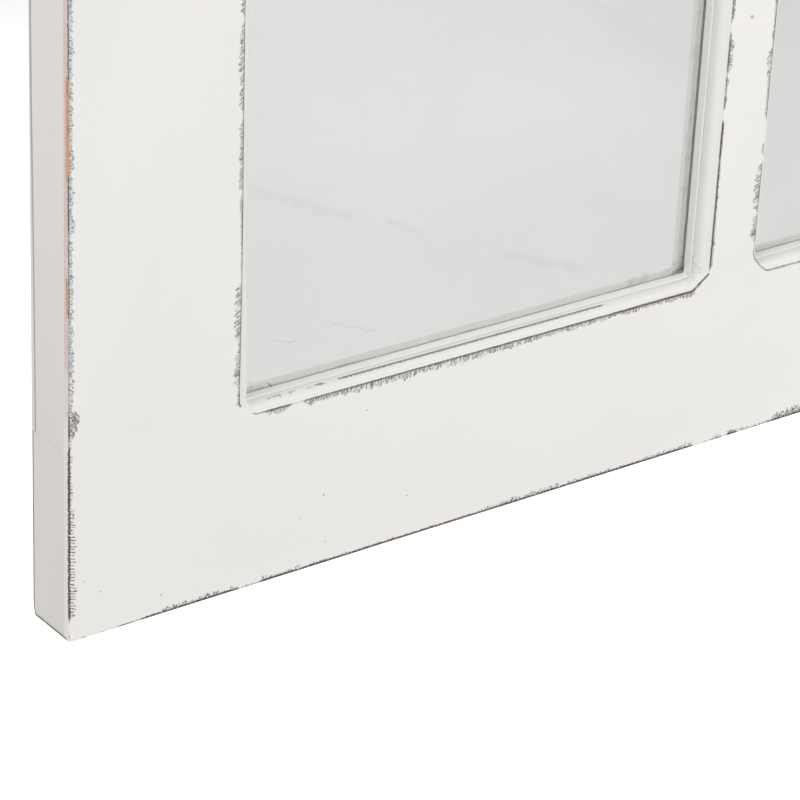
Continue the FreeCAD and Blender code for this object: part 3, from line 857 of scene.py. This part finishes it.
    # thin paint rubbed on the side of the outer arris, with a ragged limit
    tw = m.noise(m.vec(m.mul(os_, 0.7), 0.0, 38.0), 1.0, 3.0, 0.65)
    tpos = m.add(ou, m.mul(m.sub(tw, 0.5), 1.1))
    thin = m.mul(m.mul(m.ramp(tpos, -2.25, -1.85), m.ramp(ou, 0.25, -0.3)), thin_s)
    rim = m.mul(m.mul(m.ramp(m.absv(m.add(tpos, 2.1)), 0.42, 0.10), thin_s), m.ramp(tw, 0.38, 0.6))

    grime_and_shade = m.noise(m.vec(m.mul(ps, 0.9), m.mul(pu, 0.9), m.mul(gc, 0.3)), 1.0, 2.0, 0.55)
    spot = m.noise(m.vec(m.mul(os_, 1.1), m.mul(ou, 1.1), 51.0), 1.0, 2.0, 0.55)
    hatch_c1 = m.mix(m.ramp(grime_and_shade, 0.36, 0.64), srgb(72, 70, 70), srgb(116, 115, 116))
    blue = m.mix(m.ramp(spot, 0.40, 0.62), srgb(98, 99, 102), srgb(148, 152, 156))
    dark = m.mix(m.ramp(spot, 0.40, 0.62), srgb(60, 54, 54), srgb(112, 109, 109))
    hatch_c2 = m.mix(m.mx(m.ramp(oreach, 2.6, 3.2), m.ramp(thin_s, 0.5, 0.1)), blue, dark)

    # the paint itself
    big = m.noise(m.vec(m.mul(ga, 0.006), m.mul(gc, 0.012), m.mul(gd, 0.02)), 1.0, 3.0, 0.55)
    brush = m.noise(m.vec(m.mul(ga, 0.02), m.mul(gc, 0.8), m.mul(gd, 0.8)), 1.0, 3.0, 0.6)
    paint = m.mix(m.ramp(big, 0.3, 0.7), srgb(239, 237.5, 233.5), srgb(236, 234.5, 230.5))
    paint = m.mix(m.mul(m.ramp(brush, 0.58, 0.78), 0.10), paint, srgb(214, 210, 202))
    # pin holes and dust specks
    posv, px, py, pz = m.position()
    vo = m.voronoi(posv, 62.0)
    spk = m.mul(m.ramp(vo["Distance"], 0.020, 0.010), m.ramp(m.noise(posv, 40.0, 0.0), 0.60, 0.64))
    paint = m.mix(m.mul(spk, 0.75), paint, srgb(120, 114, 106))
    face = m.ramp(m.mul(py, 1000.0), -30.2, -30.6)
    sx_, sz_ = m.mul(px, 1000.0), m.mul(pz, 1000.0)
    for cx, cz, r in ((-266.0, -448.8, .5), (-291.7, -439.7, .38), (-298.9, -433.4, .34), (-195.0, -427.8, .55),
                      (-193.5, -447.9, .38), (-205.7, -434.7, .34), (-155.8, -439.0, .38), (-176.7, -397.5, .40)):
        dx, dz = m.sub(sx_, cx), m.sub(sz_, cz)
        dd = m.math("SQRT", m.add(m.mul(dx, dx), m.mul(m.mul(dz, dz), 1.6)))
        one = m.mul(m.ramp(dd, r * 1.25, r * 0.5), face)
        paint = m.mix(m.mul(one, 0.7), paint, srgb(118, 114, 108))
        spk = m.mx(spk, one)
    dx, dz = m.add(sx_, 0.1), m.add(sz_, 275.9)
    dd = m.math("SQRT", m.add(m.mul(dx, dx), m.mul(dz, dz)))
    dd = m.add(dd, m.mul(m.sub(m.noise(posv, 700.0, 1.0), 0.5), 1.2))
    paint = m.mix(m.mul(m.mul(m.ramp(dd, 1.15, 0.55), face), 0.8), paint, srgb(196, 158, 132))
    raw = m.mul(m.mul(m.ramp(m.absv(sx_), PANEL_X + 0.12, PANEL_X + 0.02), m.ramp(m.absv(sz_), PANEL_Z + 0.12, PANEL_Z + 0.02)),
                m.ramp(m.mul(py, 1000.0), Y_FRONT + PANEL_D - 0.6, Y_FRONT + PANEL_D - 0.3))
    # painted shade in the groove between the round and the lip of the moulding, made patchy with noise, and at the foot
    # of its wall against the glass
    groove = m.mul(m.ramp(m.absv(m.add(pu, 6.15)), 0.75, 0.05), m.ramp(grime_and_shade, 0.3, 0.75, 0.25, 0.9))
    paint = m.mix(m.mul(groove, 0.22), paint, srgb(150, 146, 138))
    foot = m.mul(m.ramp(m.absv(m.add(pu, 10.15)), 0.30, 0.06), m.ramp(pu, -12.0, -11.0))
    paint = m.mix(m.mul(foot, 0.18), paint, srgb(120, 116, 110))
    # hairline at the joints on the outer sides
    jl = m.mul(m.mul(m.ramp(m.absv(m.sub(m.absv(sz_), HH - BOARD)), 0.42, 0.12),
                     m.mx(m.mul(m.ramp(ou, -4.2, -5.4), m.ramp(ou, -30.0, -29.0)), m.ramp(m.mul(py, 1000.0), -6.6, -6.2))),
               m.ramp(m.noise(m.vec(m.mul(py, 900.0), m.mul(px, 160.0), 2.0), 1.0, 1.0), 0.42, 0.56))
    paint = m.mix(m.mul(jl, 0.22), paint, srgb(150, 145, 138))

    ts = m.noise(m.vec(m.mul(os_, 0.06), m.mul(ou, 1.5), 73.0), 1.0, 2.0, 0.6)
    thin_c = m.mix(m.ramp(ts, 0.38, 0.62), srgb(222, 196, 183), srgb(228, 216, 210))
    thin_c = m.mix(m.mul(m.ramp(chip, 0.52, 0.68), 0.5), thin_c, srgb(196, 160, 142))
    # painted shade: the moulding gets a slightly darker, greyer copy of the paint than the face
    mould = m.mul(m.ramp(pu, -0.4, -1.1), m.ramp(pu, -30.0, -20.0))
    paint = m.mix(m.mul(mould, 0.85), paint, srgb(229.3, 230.3, 226.3))
    col = m.mix(m.mul(thin, 0.88), paint, thin_c)
    # painted light: the walls of the rebates are lighter than the face, standing in for light thrown back by the
    # looking glass
    inner = m.mul(m.ramp(pu, 0.35 - float(PROF_L[-1]), -0.05 - float(PROF_L[-1])), m.ramp(pu, -30.0, -20.0))
    col = m.mix(m.mul(inner, 0.92), col, srgb(249, 251, 246.5))
    # specks of dirt on the moulding by the lower right corner of the first pane
    dx, dz = m.add(sx_, BAR / 2), m.sub(sz_, float(ROW_Z[0]))
    dd = m.math("SQRT", m.add(m.mul(dx, dx), m.mul(m.mul(dz, dz), 0.12)))
    dots = m.mul(m.mul(m.ramp(dd, 5.5, 2.0), m.ramp(m.noise(posv, 1100.0, 1.0), 0.65, 0.71)), mould)
    col = m.mix(m.mul(dots, 0.55), col, srgb(104, 104, 98))
    col = m.mix(m.mul(rim, 0.40), col, srgb(136, 116, 106))
    col = m.mix(m.mul(h1, 0.90), col, hatch_c1)
    col = m.mix(pale2, col, srgb(206, 211, 214))
    col = m.mix(m.mul(h2, 0.90), col, hatch_c2)
    col = m.mix(m.mul(line1, 0.92), col, m.mix(m.ramp(ln, 0.42, 0.6), srgb(58, 52, 50), srgb(92, 87, 84)))
    col = m.mix(m.mul(cl, 0.85), col, m.mix(m.ramp(cn, 0.4, 0.62), srgb(82, 84, 88), srgb(124, 126, 128)))
    dark2 = m.mix(m.ramp(lo, 0.4, 0.62), srgb(44, 38, 38), srgb(80, 68, 66))
    col = m.mix(m.mul(line2, 0.92), col, dark2)
    # bare wood on the arris
    wb = m.noise(m.vec(m.mul(os_, 0.35), m.mul(ou, 0.8), 44.0), 1.0, 2.0, 0.6)
    edge2 = m.sub(m.add(-0.75, m.mul(m.ramp(brown, 0.2, 1.0), 1.25)), m.add(ou, m.mul(owob, 0.7)))
    bare2 = m.mul(m.mul(m.ramp(m.add(ou, m.mul(owob, 0.4)), -1.05, -0.80), m.ramp(edge2, -0.05, 0.22)),
                  m.ramp(m.add(brown, m.mul(m.sub(wb, 0.5), 0.9)), 0.36, 0.60))
    bare2 = m.mul(bare2, m.ramp(q4, 0.36, 0.46, 0.55, 1.0))
    bare1 = m.mul(m.ramp(m.absv(m.add(pu, 0.55)), 0.34, 0.10), m.ramp(m.add(brown, m.mul(m.sub(ln, 0.5), 0.9)), 0.42, 0.7))
    bare = m.mx(bare2, m.mul(bare1, 0.55))
    col = m.mix(bare, col, wood)
    # rear arris and the corners of the outside, with painted shade on the bevel and on the rounded corners
    rn = m.noise(m.vec(m.mul(ga, 0.35), m.mul(gd, 0.4), 61.0), 1.0, 2.0, 0.6)
    rl = m.mul(m.ramp(m.absv(m.sub(rear, 0.32)), 0.52, 0.22), m.ramp(rn, 0.18, 0.42))
    # painted shade: the rear bevel is darkened, except towards the ends of the stiles
    rb = m.mul(m.mul(m.ramp(rear, 0.1, -0.15), m.ramp(rear, -20.0, -19.0)), rshade)
    col = m.mix(m.mul(rb, 0.30), col, srgb(138, 136, 132))
    col = m.mix(m.mul(rl, m.ramp(m.absv(sz_), HH - BOARD - 1.0, HH - BOARD + 1.0, 0.62, 0.92)), col, srgb(100, 98, 94))
    # painted shade along the top and bottom edges of the outer sides, where they round over
    underside_shade_line = m.mul(m.mul(m.ramp(m.absv(sz_), HH - 1.85, HH - 1.45), m.ramp(m.absv(sx_), HW - CORNER_R - 0.1, HW - CORNER_R + 0.1)),
                      m.ramp(m.mul(py, 1000.0), -29.9, -29.2))
    # painted shade on the outer sides, darker towards the foot and along the lower edge
    grime_and_shade = m.mul(m.ramp(ou, -2.0, -3.5), m.add(m.ramp(sz_, -215.0, -445.0, 0.0, 0.13), m.ramp(sz_, -452.5, -456.5, 0.0, 0.15)))
    col = m.mix(grime_and_shade, col, srgb(120, 117, 112))
    # painted shade on the rounded corners of the sash and on those edges, broken by noise
    corner_shade = m.mul(m.mx(m.ramp(corner, 0.12, 0.42), underside_shade_line), m.ramp(rn, 0.15, 0.4))
    col = m.mix(m.mul(corner_shade, 0.75), col, srgb(70, 66, 62))
    # unpainted rebates
    col = m.mix(raw, col, m.mix(0.25, wood, srgb(214, 170, 122)))
    worn = m.mx(m.mx(h1, h2), m.mx(m.mx(line1, line2), m.mx(m.mx(bare, cl), m.mx(rl, corner_shade))))

    rough = m.add(m.ramp(brush, 0.3, 0.7, 0.44, 0.54), m.mul(worn, 0.22))
    rough = m.add(rough, m.mul(raw, 0.22))
    peel = m.noise(posv, 900.0, 2.0, 0.5)
    h = m.add(m.mul(brush, 0.22), m.mul(peel, 0.10))
    h = m.sub(h, m.mul(worn, 0.75))
    h = m.sub(h, m.mul(jl, 0.8))
    h = m.sub(h, m.mul(spk, 0.6))
    nrm = m.bump(h, 0.35, 0.00018)
    m.set(Base_Color=col, Roughness=rough, Normal=nrm)
    m.bsdf.inputs["Specular IOR Level"].default_value = 0.38
    return m.mat


# ---------------------------------------------------------------------------
# looking glass
# ---------------------------------------------------------------------------
def edge_distance(m, x, z):
    """Distance from the nearest side edge and from the nearest level edge of a pane, in mm."""
    ex = m.sub(PANE_W / 2, m.absv(m.sub(m.absv(x), (PANE_W + BAR) / 2)))
    pitch = PANE_H + BAR
    row = m.mul(m.math("ROUND", m.mul(z, 1.0 / pitch)), pitch)
    ez = m.sub(PANE_H / 2, m.absv(m.sub(z, row)))
    return ex, ez


def segment(m, x, z, x0, z0, x1, z1, half):
    """Soft mask of a straight stroke."""
    L = math.hypot(x1 - x0, z1 - z0)
    cx, cz = (x1 - x0) / L, (z1 - z0) / L
    rx, rz = m.sub(x, x0), m.sub(z, z0)
    t = m.add(m.mul(rx, cx), m.mul(rz, cz))
    n = m.sub(m.mul(rx, -cz), m.mul(rz, -cx))
    ends = m.mul(m.ramp(t, -0.15 * L, 0.2 * L), m.ramp(t, 1.15 * L, 0.8 * L))
    return m.mul(ends, m.ramp(m.absv(n), half, half * 0.2))


def glass_material():
    m = Nodes("float_glass")
    posv, px, py, pz = m.position()
    x, z = m.mul(px, 1000.0), m.mul(pz, 1000.0)
    sx = m.sub(x, m.mul(m.math("SIGN", x), (PANE_W + BAR) / 2))
    pitch = PANE_H + BAR
    zz = m.sub(z, m.mul(m.math("ROUND", m.mul(z, 1.0 / pitch)), pitch))
    er, el = m.sub(PANE_W / 2, sx), m.add(PANE_W / 2, sx)
    eb, et = m.add(PANE_H / 2, zz), m.sub(PANE_H / 2, zz)
    n = m.noise(posv, 14.0, 2.0, 0.5)
    g = m.noise(posv, 330.0, 3.0, 0.6)
    j = m.mul(m.sub(g, 0.5), 1.2)
    patch = m.ramp(m.noise(posv, 26.0, 2.0, 0.5), 0.42, 0.66)
    # painted shadow of the gap between glass and wood, mixed with dirt: thin along the right side, in patches along the
    # bottom, most in the corner
    near = m.ramp(m.add(er, m.mul(eb, 1.1)), 7.2, 2.2)
    joint_shadow_and_dirt = m.mx(m.mul(m.ramp(m.add(er, m.mul(j, 0.3)), 0.50, 0.18), 0.78),
                m.mul(m.ramp(m.add(eb, m.mul(j, 0.6)), 0.9, 0.2), m.mul(patch, 0.40)))
    joint_shadow_and_dirt = m.mx(joint_shadow_and_dirt, m.mul(near, m.ramp(g, 0.29, 0.49)))
    joint_shadow_and_dirt = m.mx(joint_shadow_and_dirt, m.mul(m.ramp(m.add(m.mn(el, et), j), 0.6, 0.1), 0.25))
    joint_shadow_and_dirt = m.mx(joint_shadow_and_dirt, m.mul(segment(m, x, z, -214.95, -380.8, -213.65, -382.05, 0.42), 0.95))
    clean = m.mix(m.ramp(n, 0.35, 0.65), (0.972, 0.990, 0.978), (0.980, 0.994, 0.986))
    m.set(Base_Color=m.mix(joint_shadow_and_dirt, clean, srgb(66, 68, 62)), Transmission_Weight=m.sub(1.0, m.mul(joint_shadow_and_dirt, 0.9)))
    m.bsdf.inputs["Roughness"].default_value = 0.0
    m.bsdf.inputs["IOR"].default_value = 1.52
    return m.mat


def silver_material():
    m = Nodes("silvering")
    posv, px, py, pz = m.position()
    x = m.mul(px, 1000.0)
    z = m.mul(pz, 1000.0)
    ex, ez = edge_distance(m, x, z)
    er = m.sub(PANE_W / 2, m.sub(x, m.mul(m.math("SIGN", x), (PANE_W + BAR) / 2)))
    # wiped streaks, slanting across the pane
    sl = m.vec(m.mul(m.add(x, m.mul(z, 0.8)), 0.012), m.mul(m.sub(z, m.mul(x, -0.42)), 0.055), 3.0)
    streak = m.noise(sl, 1.0, 3.0, 0.55, 0.6)
    cloud = m.noise(posv, 9.0, 3.0, 0.5)
    col = m.mix(m.ramp(cloud, 0.3, 0.7), (0.885, 0.882, 0.874), (0.910, 0.906, 0.900))
    col = m.mix(m.mul(m.ramp(streak, 0.56, 0.74), 0.20), col, (0.80, 0.803, 0.795))
    vo = m.voronoi(posv, 120.0)
    dust = m.mul(m.ramp(vo["Distance"], 0.035, 0.015), m.ramp(m.noise(posv, 30.0, 0.0), 0.58, 0.66))
    col = m.mix(m.mul(dust, 0.4), col, (0.5, 0.52, 0.5))
    # faint cloth marks and hair scratches on the lower left pane
    wv = m.noise(m.vec(m.mul(x, 0.10), m.mul(z, 0.10), 5.0), 1.0, 3.0, 0.6)
    zw = m.add(z, m.mul(m.sub(wv, 0.5), 9.0))
    marks = m.mul(segment(m, x, zw, -227, -302, -172, -326, 3.4), 0.065)
    for a, b, c, d, w, k in ((-165, -326, -147, -339, 2.2, 0.075), (-110, -353, -65, -370, 2.8, 0.085),
                             (-215, -364, -202, -366, 0.5, 0.20), (-191, -362, -165, -372, 0.7, 0.10)):
        marks = m.mx(marks, m.mul(segment(m, x, zw, a, b, c, d, w), k))
    col = m.mix(m.mul(marks, m.ramp(wv, 0.3, 0.6, 0.3, 1.0)), col, (0.30, 0.31, 0.30))
    # greenish margin along the edges, darker than the rest of the silver
    mg = m.mul(m.sub(m.noise(posv, 120.0, 2.0, 0.6), 0.5), 0.9)
    edge_margin = m.mx(m.ramp(m.add(er, mg), 5.9, 5.3), m.ramp(m.add(ez, mg), 3.35, 2.85))
    col = m.mix(m.mul(edge_margin, 0.92), col, (0.738, 0.760, 0.735))
    # painted shade: near black against the rebate on the right side of each pane
    col = m.mix(m.mul(m.ramp(m.add(er, m.mul(mg, 0.4)), 0.85, 0.12, 0.0, 1.0), 0.78), col, (0.23, 0.26, 0.22))
    fleck = m.noise(m.vec(m.mul(x, 2.4), m.mul(z, 0.14), 9.0), 1.0, 2.0, 0.6)
    fleck = m.mul(m.ramp(fleck, 0.57, 0.66), m.ramp(er, 5.2, 4.0))
    col = m.mix(m.mul(fleck, 0.5), col, (0.36, 0.39, 0.36))
    # soft darkening in the lower right corner of each pane, stronger in the lower half of the glass; one smear by the
    # foot of the lower left pane
    sd = m.noise(posv, 210.0, 3.0, 0.6)
    soft = m.mul(m.ramp(m.add(er, m.mul(ez, 1.1)), 15.0, 3.0), m.mul(m.ramp(sd, 0.36, 0.62), m.ramp(z, 0.0, -10.0, 0.5, 1.0)))
    col = m.mix(m.mul(soft, 0.62), col, (0.34, 0.36, 0.32))
    smear = m.mul(segment(m, x, z, -45.5, -380.6, -35.0, -379.2, 3.0), m.ramp(sd, 0.30, 0.60))
    col = m.mix(m.mul(smear, 0.42), col, (0.47, 0.465, 0.40))
    # specks in the lower corners of each pane
    near = m.ramp(m.add(ex, ez), 16.0, 2.0)
    sp = m.noise(posv, 950.0, 2.0, 0.6)
    col = m.mix(m.mul(m.mul(near, m.ramp(sp, 0.54, 0.66)), 0.55), col, (0.16, 0.17, 0.16))
    rim_n = m.mul(m.sub(m.noise(posv, 160.0, 3.0, 0.6), 0.5), 0.9)
    rim = m.mx(m.ramp(m.add(ex, m.mul(rim_n, 0.3)), 0.40, 0.10), m.ramp(m.add(ez, m.mul(rim_n, 0.3)), 0.30, 0.05))
    col = m.mix(rim, col, m.mix(m.ramp(sp, 0.35, 0.65), srgb(226, 230, 222), srgb(204, 210, 200)))
    m.set(Base_Color=col, Metallic=m.sub(1.0, rim), Roughness=m.add(0.03, m.mul(rim, 0.6)))
    return m.mat


LAYER = 0.5        # clear glass in front of the reflecting layer


def pane(name, x0, x1, z0, z1, glass, silver, backing):
    """Looking glass with seamed edges: clear layer, reflecting face, protected back."""
    lap = GLASS_LAP - 0.5
    gap = 0.06
    bm = bmesh.new()
    for d0, d1, cut, mats in ((GLASS_D + gap, GLASS_D + LAYER, 0.00012, (0, 1)),
                              (GLASS_D + LAYER + 0.02, GLASS_D + GLASS_T - gap, 0.0004, (2, 2))):
        part = bmesh.new()
        bmesh.ops.create_cube(part, size=1.0)
        lo = Vector((x0 - lap, Y_FRONT + d0, z0 - lap)) / 1000
        hi = Vector((x1 + lap, Y_FRONT + d1, z1 + lap)) / 1000
        for v in part.verts:
            v.co = Vector(((lo + hi) / 2)[i] + v.co[i] * (hi - lo)[i] for i in range(3))
        bmesh.ops.bevel(part, geom=list(part.edges), offset=cut, segments=2, profile=0.5, affect="EDGES")
        bmesh.ops.recalc_face_normals(part, faces=part.faces)
        for f in part.faces:
            f.material_index = mats[1] if f.normal.y > 0.99 else mats[0]
        tmp = bpy.data.meshes.new(name + "_layer")
        part.to_mesh(tmp)
        part.free()
        bm.from_mesh(tmp)
        bpy.data.meshes.remove(tmp)
    me = bpy.data.meshes.new(name)
    bm.to_mesh(me)
    bm.free()
    for mat in (glass, silver, backing):
        me.materials.append(mat)
    ob = bpy.data.objects.new(name, me)
    bpy.context.scene.collection.objects.link(ob)
    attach(ob, "sash")
    return ob


# ---------------------------------------------------------------------------
# other materials
# ---------------------------------------------------------------------------
def backing_material():
    m = Nodes("mirror_back_coat")
    posv, px, py, pz = m.position()
    f = m.noise(posv, 60.0, 3.0, 0.6)
    m.set(Base_Color=m.mix(m.ramp(f, 0.3, 0.7), srgb(118, 124, 128), srgb(104, 110, 114)),
          Roughness=m.ramp(f, 0.3, 0.7, 0.5, 0.64), Normal=m.bump(f, 0.1, 0.0001))
    return m.mat


def hardboard_material():
    m = Nodes("hardboard")
    posv, px, py, pz = m.position()
    f1 = m.noise(posv, 420.0, 4.0, 0.65, 0.8)
    f2 = m.noise(posv, 18.0, 4.0, 0.65)
    fib = m.voronoi(posv, 520.0, "DISTANCE_TO_EDGE")["Distance"]
    col = m.mix(m.ramp(f1, 0.3, 0.7), srgb(128, 92, 62), srgb(164, 124, 88))
    col = m.mix(m.mul(m.ramp(f2, 0.35, 0.75), 0.22), col, srgb(112, 78, 52))
    col = m.mix(m.mul(m.ramp(fib, 0.06, 0.0), 0.35), col, srgb(182, 146, 108))
    h = m.add(m.mul(f1, 0.7), m.mul(fib, 0.5))
    m.set(Base_Color=col, Roughness=m.ramp(f1, 0.3, 0.7, 0.62, 0.78), Normal=m.bump(h, 0.35, 0.0002))
    return m.mat


def card_material():
    m = Nodes("corrugated_card")
    posv, px, py, pz = m.position()
    f = m.noise(m.vec(m.mul(px, 60.0), m.mul(py, 400.0), m.mul(pz, 400.0)), 1.0, 3.0, 0.6)
    col = m.mix(m.ramp(f, 0.3, 0.7), srgb(176, 138, 98), srgb(196, 160, 118))
    m.set(Base_Color=col, Roughness=m.ramp(f, 0.3, 0.7, 0.8, 0.9), Normal=m.bump(f, 0.3, 0.0003))
    return m.mat


def zinc_material():
    m = Nodes("zinc_plate")
    posv, px, py, pz = m.position()
    a = m.noise(posv, 240.0, 4.0, 0.6)
    b = m.noise(m.vec(m.mul(px, 300.0), m.mul(py, 2600.0), m.mul(pz, 2600.0)), 1.0, 2.0, 0.5)
    col = m.mix(m.ramp(a, 0.3, 0.7), srgb(196, 198, 200), srgb(212, 211, 204))
    col = m.mix(m.mul(m.ramp(a, 0.6, 0.8), 0.5), col, srgb(170, 170, 168))
    m.set(Base_Color=col, Roughness=m.ramp(b, 0.3, 0.7, 0.26, 0.42), Normal=m.bump(b, 0.12, 0.00005))
    m.bsdf.inputs["Metallic"].default_value = 1.0
    return m.mat


def beech_material():
    m = Nodes("beech")
    posv, px, py, pz = m.position()
    f = m.noise(m.vec(m.mul(px, 700.0), m.mul(py, 700.0), m.mul(pz, 60.0)), 1.0, 3.0, 0.6)
    m.set(Base_Color=m.mix(m.ramp(f, 0.3, 0.7), srgb(214, 178, 136), srgb(190, 148, 104)),
          Roughness=m.ramp(f, 0.3, 0.7, 0.6, 0.72), Normal=m.bump(f, 0.2, 0.0001))
    return m.mat


def rubber_material():
    m = Nodes("grey_rubber")
    posv, px, py, pz = m.position()
    f = m.noise(posv, 900.0, 3.0, 0.6)
    g = m.noise(posv, 180.0, 2.0, 0.5)
    m.set(Base_Color=m.mix(m.ramp(g, 0.3, 0.7), (0.035, 0.035, 0.037), (0.06, 0.06, 0.062)),
          Roughness=m.ramp(f, 0.3, 0.7, 0.6, 0.78), Normal=m.bump(f, 0.25, 0.0001))
    return m.mat


# ---------------------------------------------------------------------------
# build
# ---------------------------------------------------------------------------
paint = paint_material()
wood = [
    member("bottom_rail", (-HW, HW, -HH, -HH + BOARD), (1, 1, 0, 0), False, "x"),
    member("top_rail", (-HW, HW, HH - BOARD, HH), (0, 0, 1, 1), False, "x"),
    member("left_stile", (-HW, -HW + BOARD, -HH + BOARD, HH - BOARD), (0, 0, 0, 0), True, "z"),
    member("right_stile", (HW - BOARD, HW, -HH + BOARD, HH - BOARD), (0, 0, 0, 0), True, "z"),
    member("upright_bar", (-BAR / 2, BAR / 2, -HH + BOARD, HH - BOARD), (0, 0, 0, 0), False, "z"),
]
for j, level in ((0, "lower"), (1, "upper")):
    zb = ROW_Z[j] + PANE_H
    wood.append(member(level + "_left_cross_bar", (-HW + BOARD, -BAR / 2, zb, zb + BAR), (0, 0, 0, 0), False, "x"))
    wood.append(member(level + "_right_cross_bar", (BAR / 2, HW - BOARD, zb, zb + BAR), (0, 0, 0, 0), False, "x"))
for o in wood:
    o.data.materials.append(paint)

glass, silver, coat = glass_material(), silver_material(), backing_material()
for name, x0, x1, z0, z1 in OPEN:
    p = pane("looking_glass_" + name, x0, x1, z0, z1, glass, silver, coat)
    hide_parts("mirror_pane_" + name)

plain = {"back_panel": hardboard_material()}
card, zinc, beech, rubber = card_material(), zinc_material(), beech_material(), rubber_material()
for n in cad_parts:
    if n.startswith("pane_pad_"):
        plain[n] = card
    elif n.endswith("_screws") or "_hanger_" in n:
        plain[n] = zinc
    elif n.endswith("_dowels"):
        plain[n] = beech
    elif n.endswith("_bumper"):
        plain[n] = rubber
for n, mat in plain.items():
    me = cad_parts[n].data
    if len(me.materials):
        for i in range(len(me.materials)):
            me.materials[i] = mat
    else:
        me.materials.append(mat)

# ---------------------------------------------------------------------------
# stage: pale floor, soft light, camera
# ---------------------------------------------------------------------------
fm = bpy.data.meshes.new("floor")
s, zf = 6.0, -1.25
fm.from_pydata([(-s, -s, zf), (s, -s, zf), (s, s, zf), (-s, s, zf)], [], [(0, 1, 2, 3)])
floor = bpy.data.objects.new("floor", fm)
bpy.context.scene.collection.objects.link(floor)
f = Nodes("pale_floor")
fp = f.position()[0]
f.set(Base_Color=f.mix(f.ramp(f.noise(fp, 3.0, 2.0), 0.3, 0.7), (0.79, 0.79, 0.786), (0.81, 0.81, 0.806)), Roughness=0.9)
f.bsdf.inputs["Emission Color"].default_value = (1, 1, 1, 1)
f.bsdf.inputs["Emission Strength"].default_value = 0.22
fm.materials.append(f.mat)

scene = bpy.context.scene
world = bpy.data.worlds.new("studio")
scene.world = world
world.use_nodes = True
bg = world.node_tree.nodes["Background"]
bg.inputs["Color"].default_value = (1.0, 1.0, 1.0, 1.0)
bg.inputs["Strength"].default_value = 0.42


def soft_box(name, loc, aim, size, power, colour=(1, 1, 1)):
    li = bpy.data.lights.new(name, "AREA")
    li.shape = "RECTANGLE"
    li.size, li.size_y = size
    li.energy = power
    li.color = colour
    ob = bpy.data.objects.new(name, li)
    bpy.context.scene.collection.objects.link(ob)
    ob.location = loc
    d = Vector(aim) - Vector(loc)
    ob.rotation_euler = d.to_track_quat("-Z", "Y").to_euler()
    return ob


soft_box("key", (0.15, -1.30, 0.36), (-0.05, 0, -0.1), (1.2, 0.9), 8.9)
soft_box("side_fill", (-2.2, -0.62, 1.15), (-0.2, 0, -0.3), (1.2, 1.2), 23.0, (1.0, 0.955, 0.94))
soft_box("right_fill", (0.85, -0.25, -0.05), (0.3, 0, -0.25), (0.6, 0.6), 1.8)
soft_box("top_fill", (0.0, -0.16, 1.30), (0, -0.03, -0.4), (0.9, 0.25), 3.0)
soft_box("floor_fill", (1.40, -2.24, -0.20), (1.40, -2.23, -1.25), (1.2, 1.2), 4.9)
soft_box("rear_fill", (0.95, 1.45, -0.10), (0.95, 1.44, -1.25), (1.9, 1.9), 20.0)

cam = bpy.data.cameras.new("camera")
cam.sensor_fit = "HORIZONTAL"
cam.sensor_width = 36.0
cam.lens = 150.924
cam.clip_start = 0.05
cam_ob = bpy.data.objects.new("camera", cam)
scene.collection.objects.link(cam_ob)
right = Vector((0.803241, -0.594217, 0.041358))
down = Vector((-0.230599, -0.374231, -0.898207))
ahead = Vector((0.549207, 0.711939, -0.437623))
rot = Matrix((right, -down, -ahead)).transposed()
cam_ob.matrix_world = Matrix.Translation((-0.845313, -0.917560, 0.147618)) @ rot.to_4x4()
scene.camera = cam_ob
scene.view_settings.view_transform = "Standard"
scene.view_settings.look = "None"
scene.view_settings.exposure = 0.0
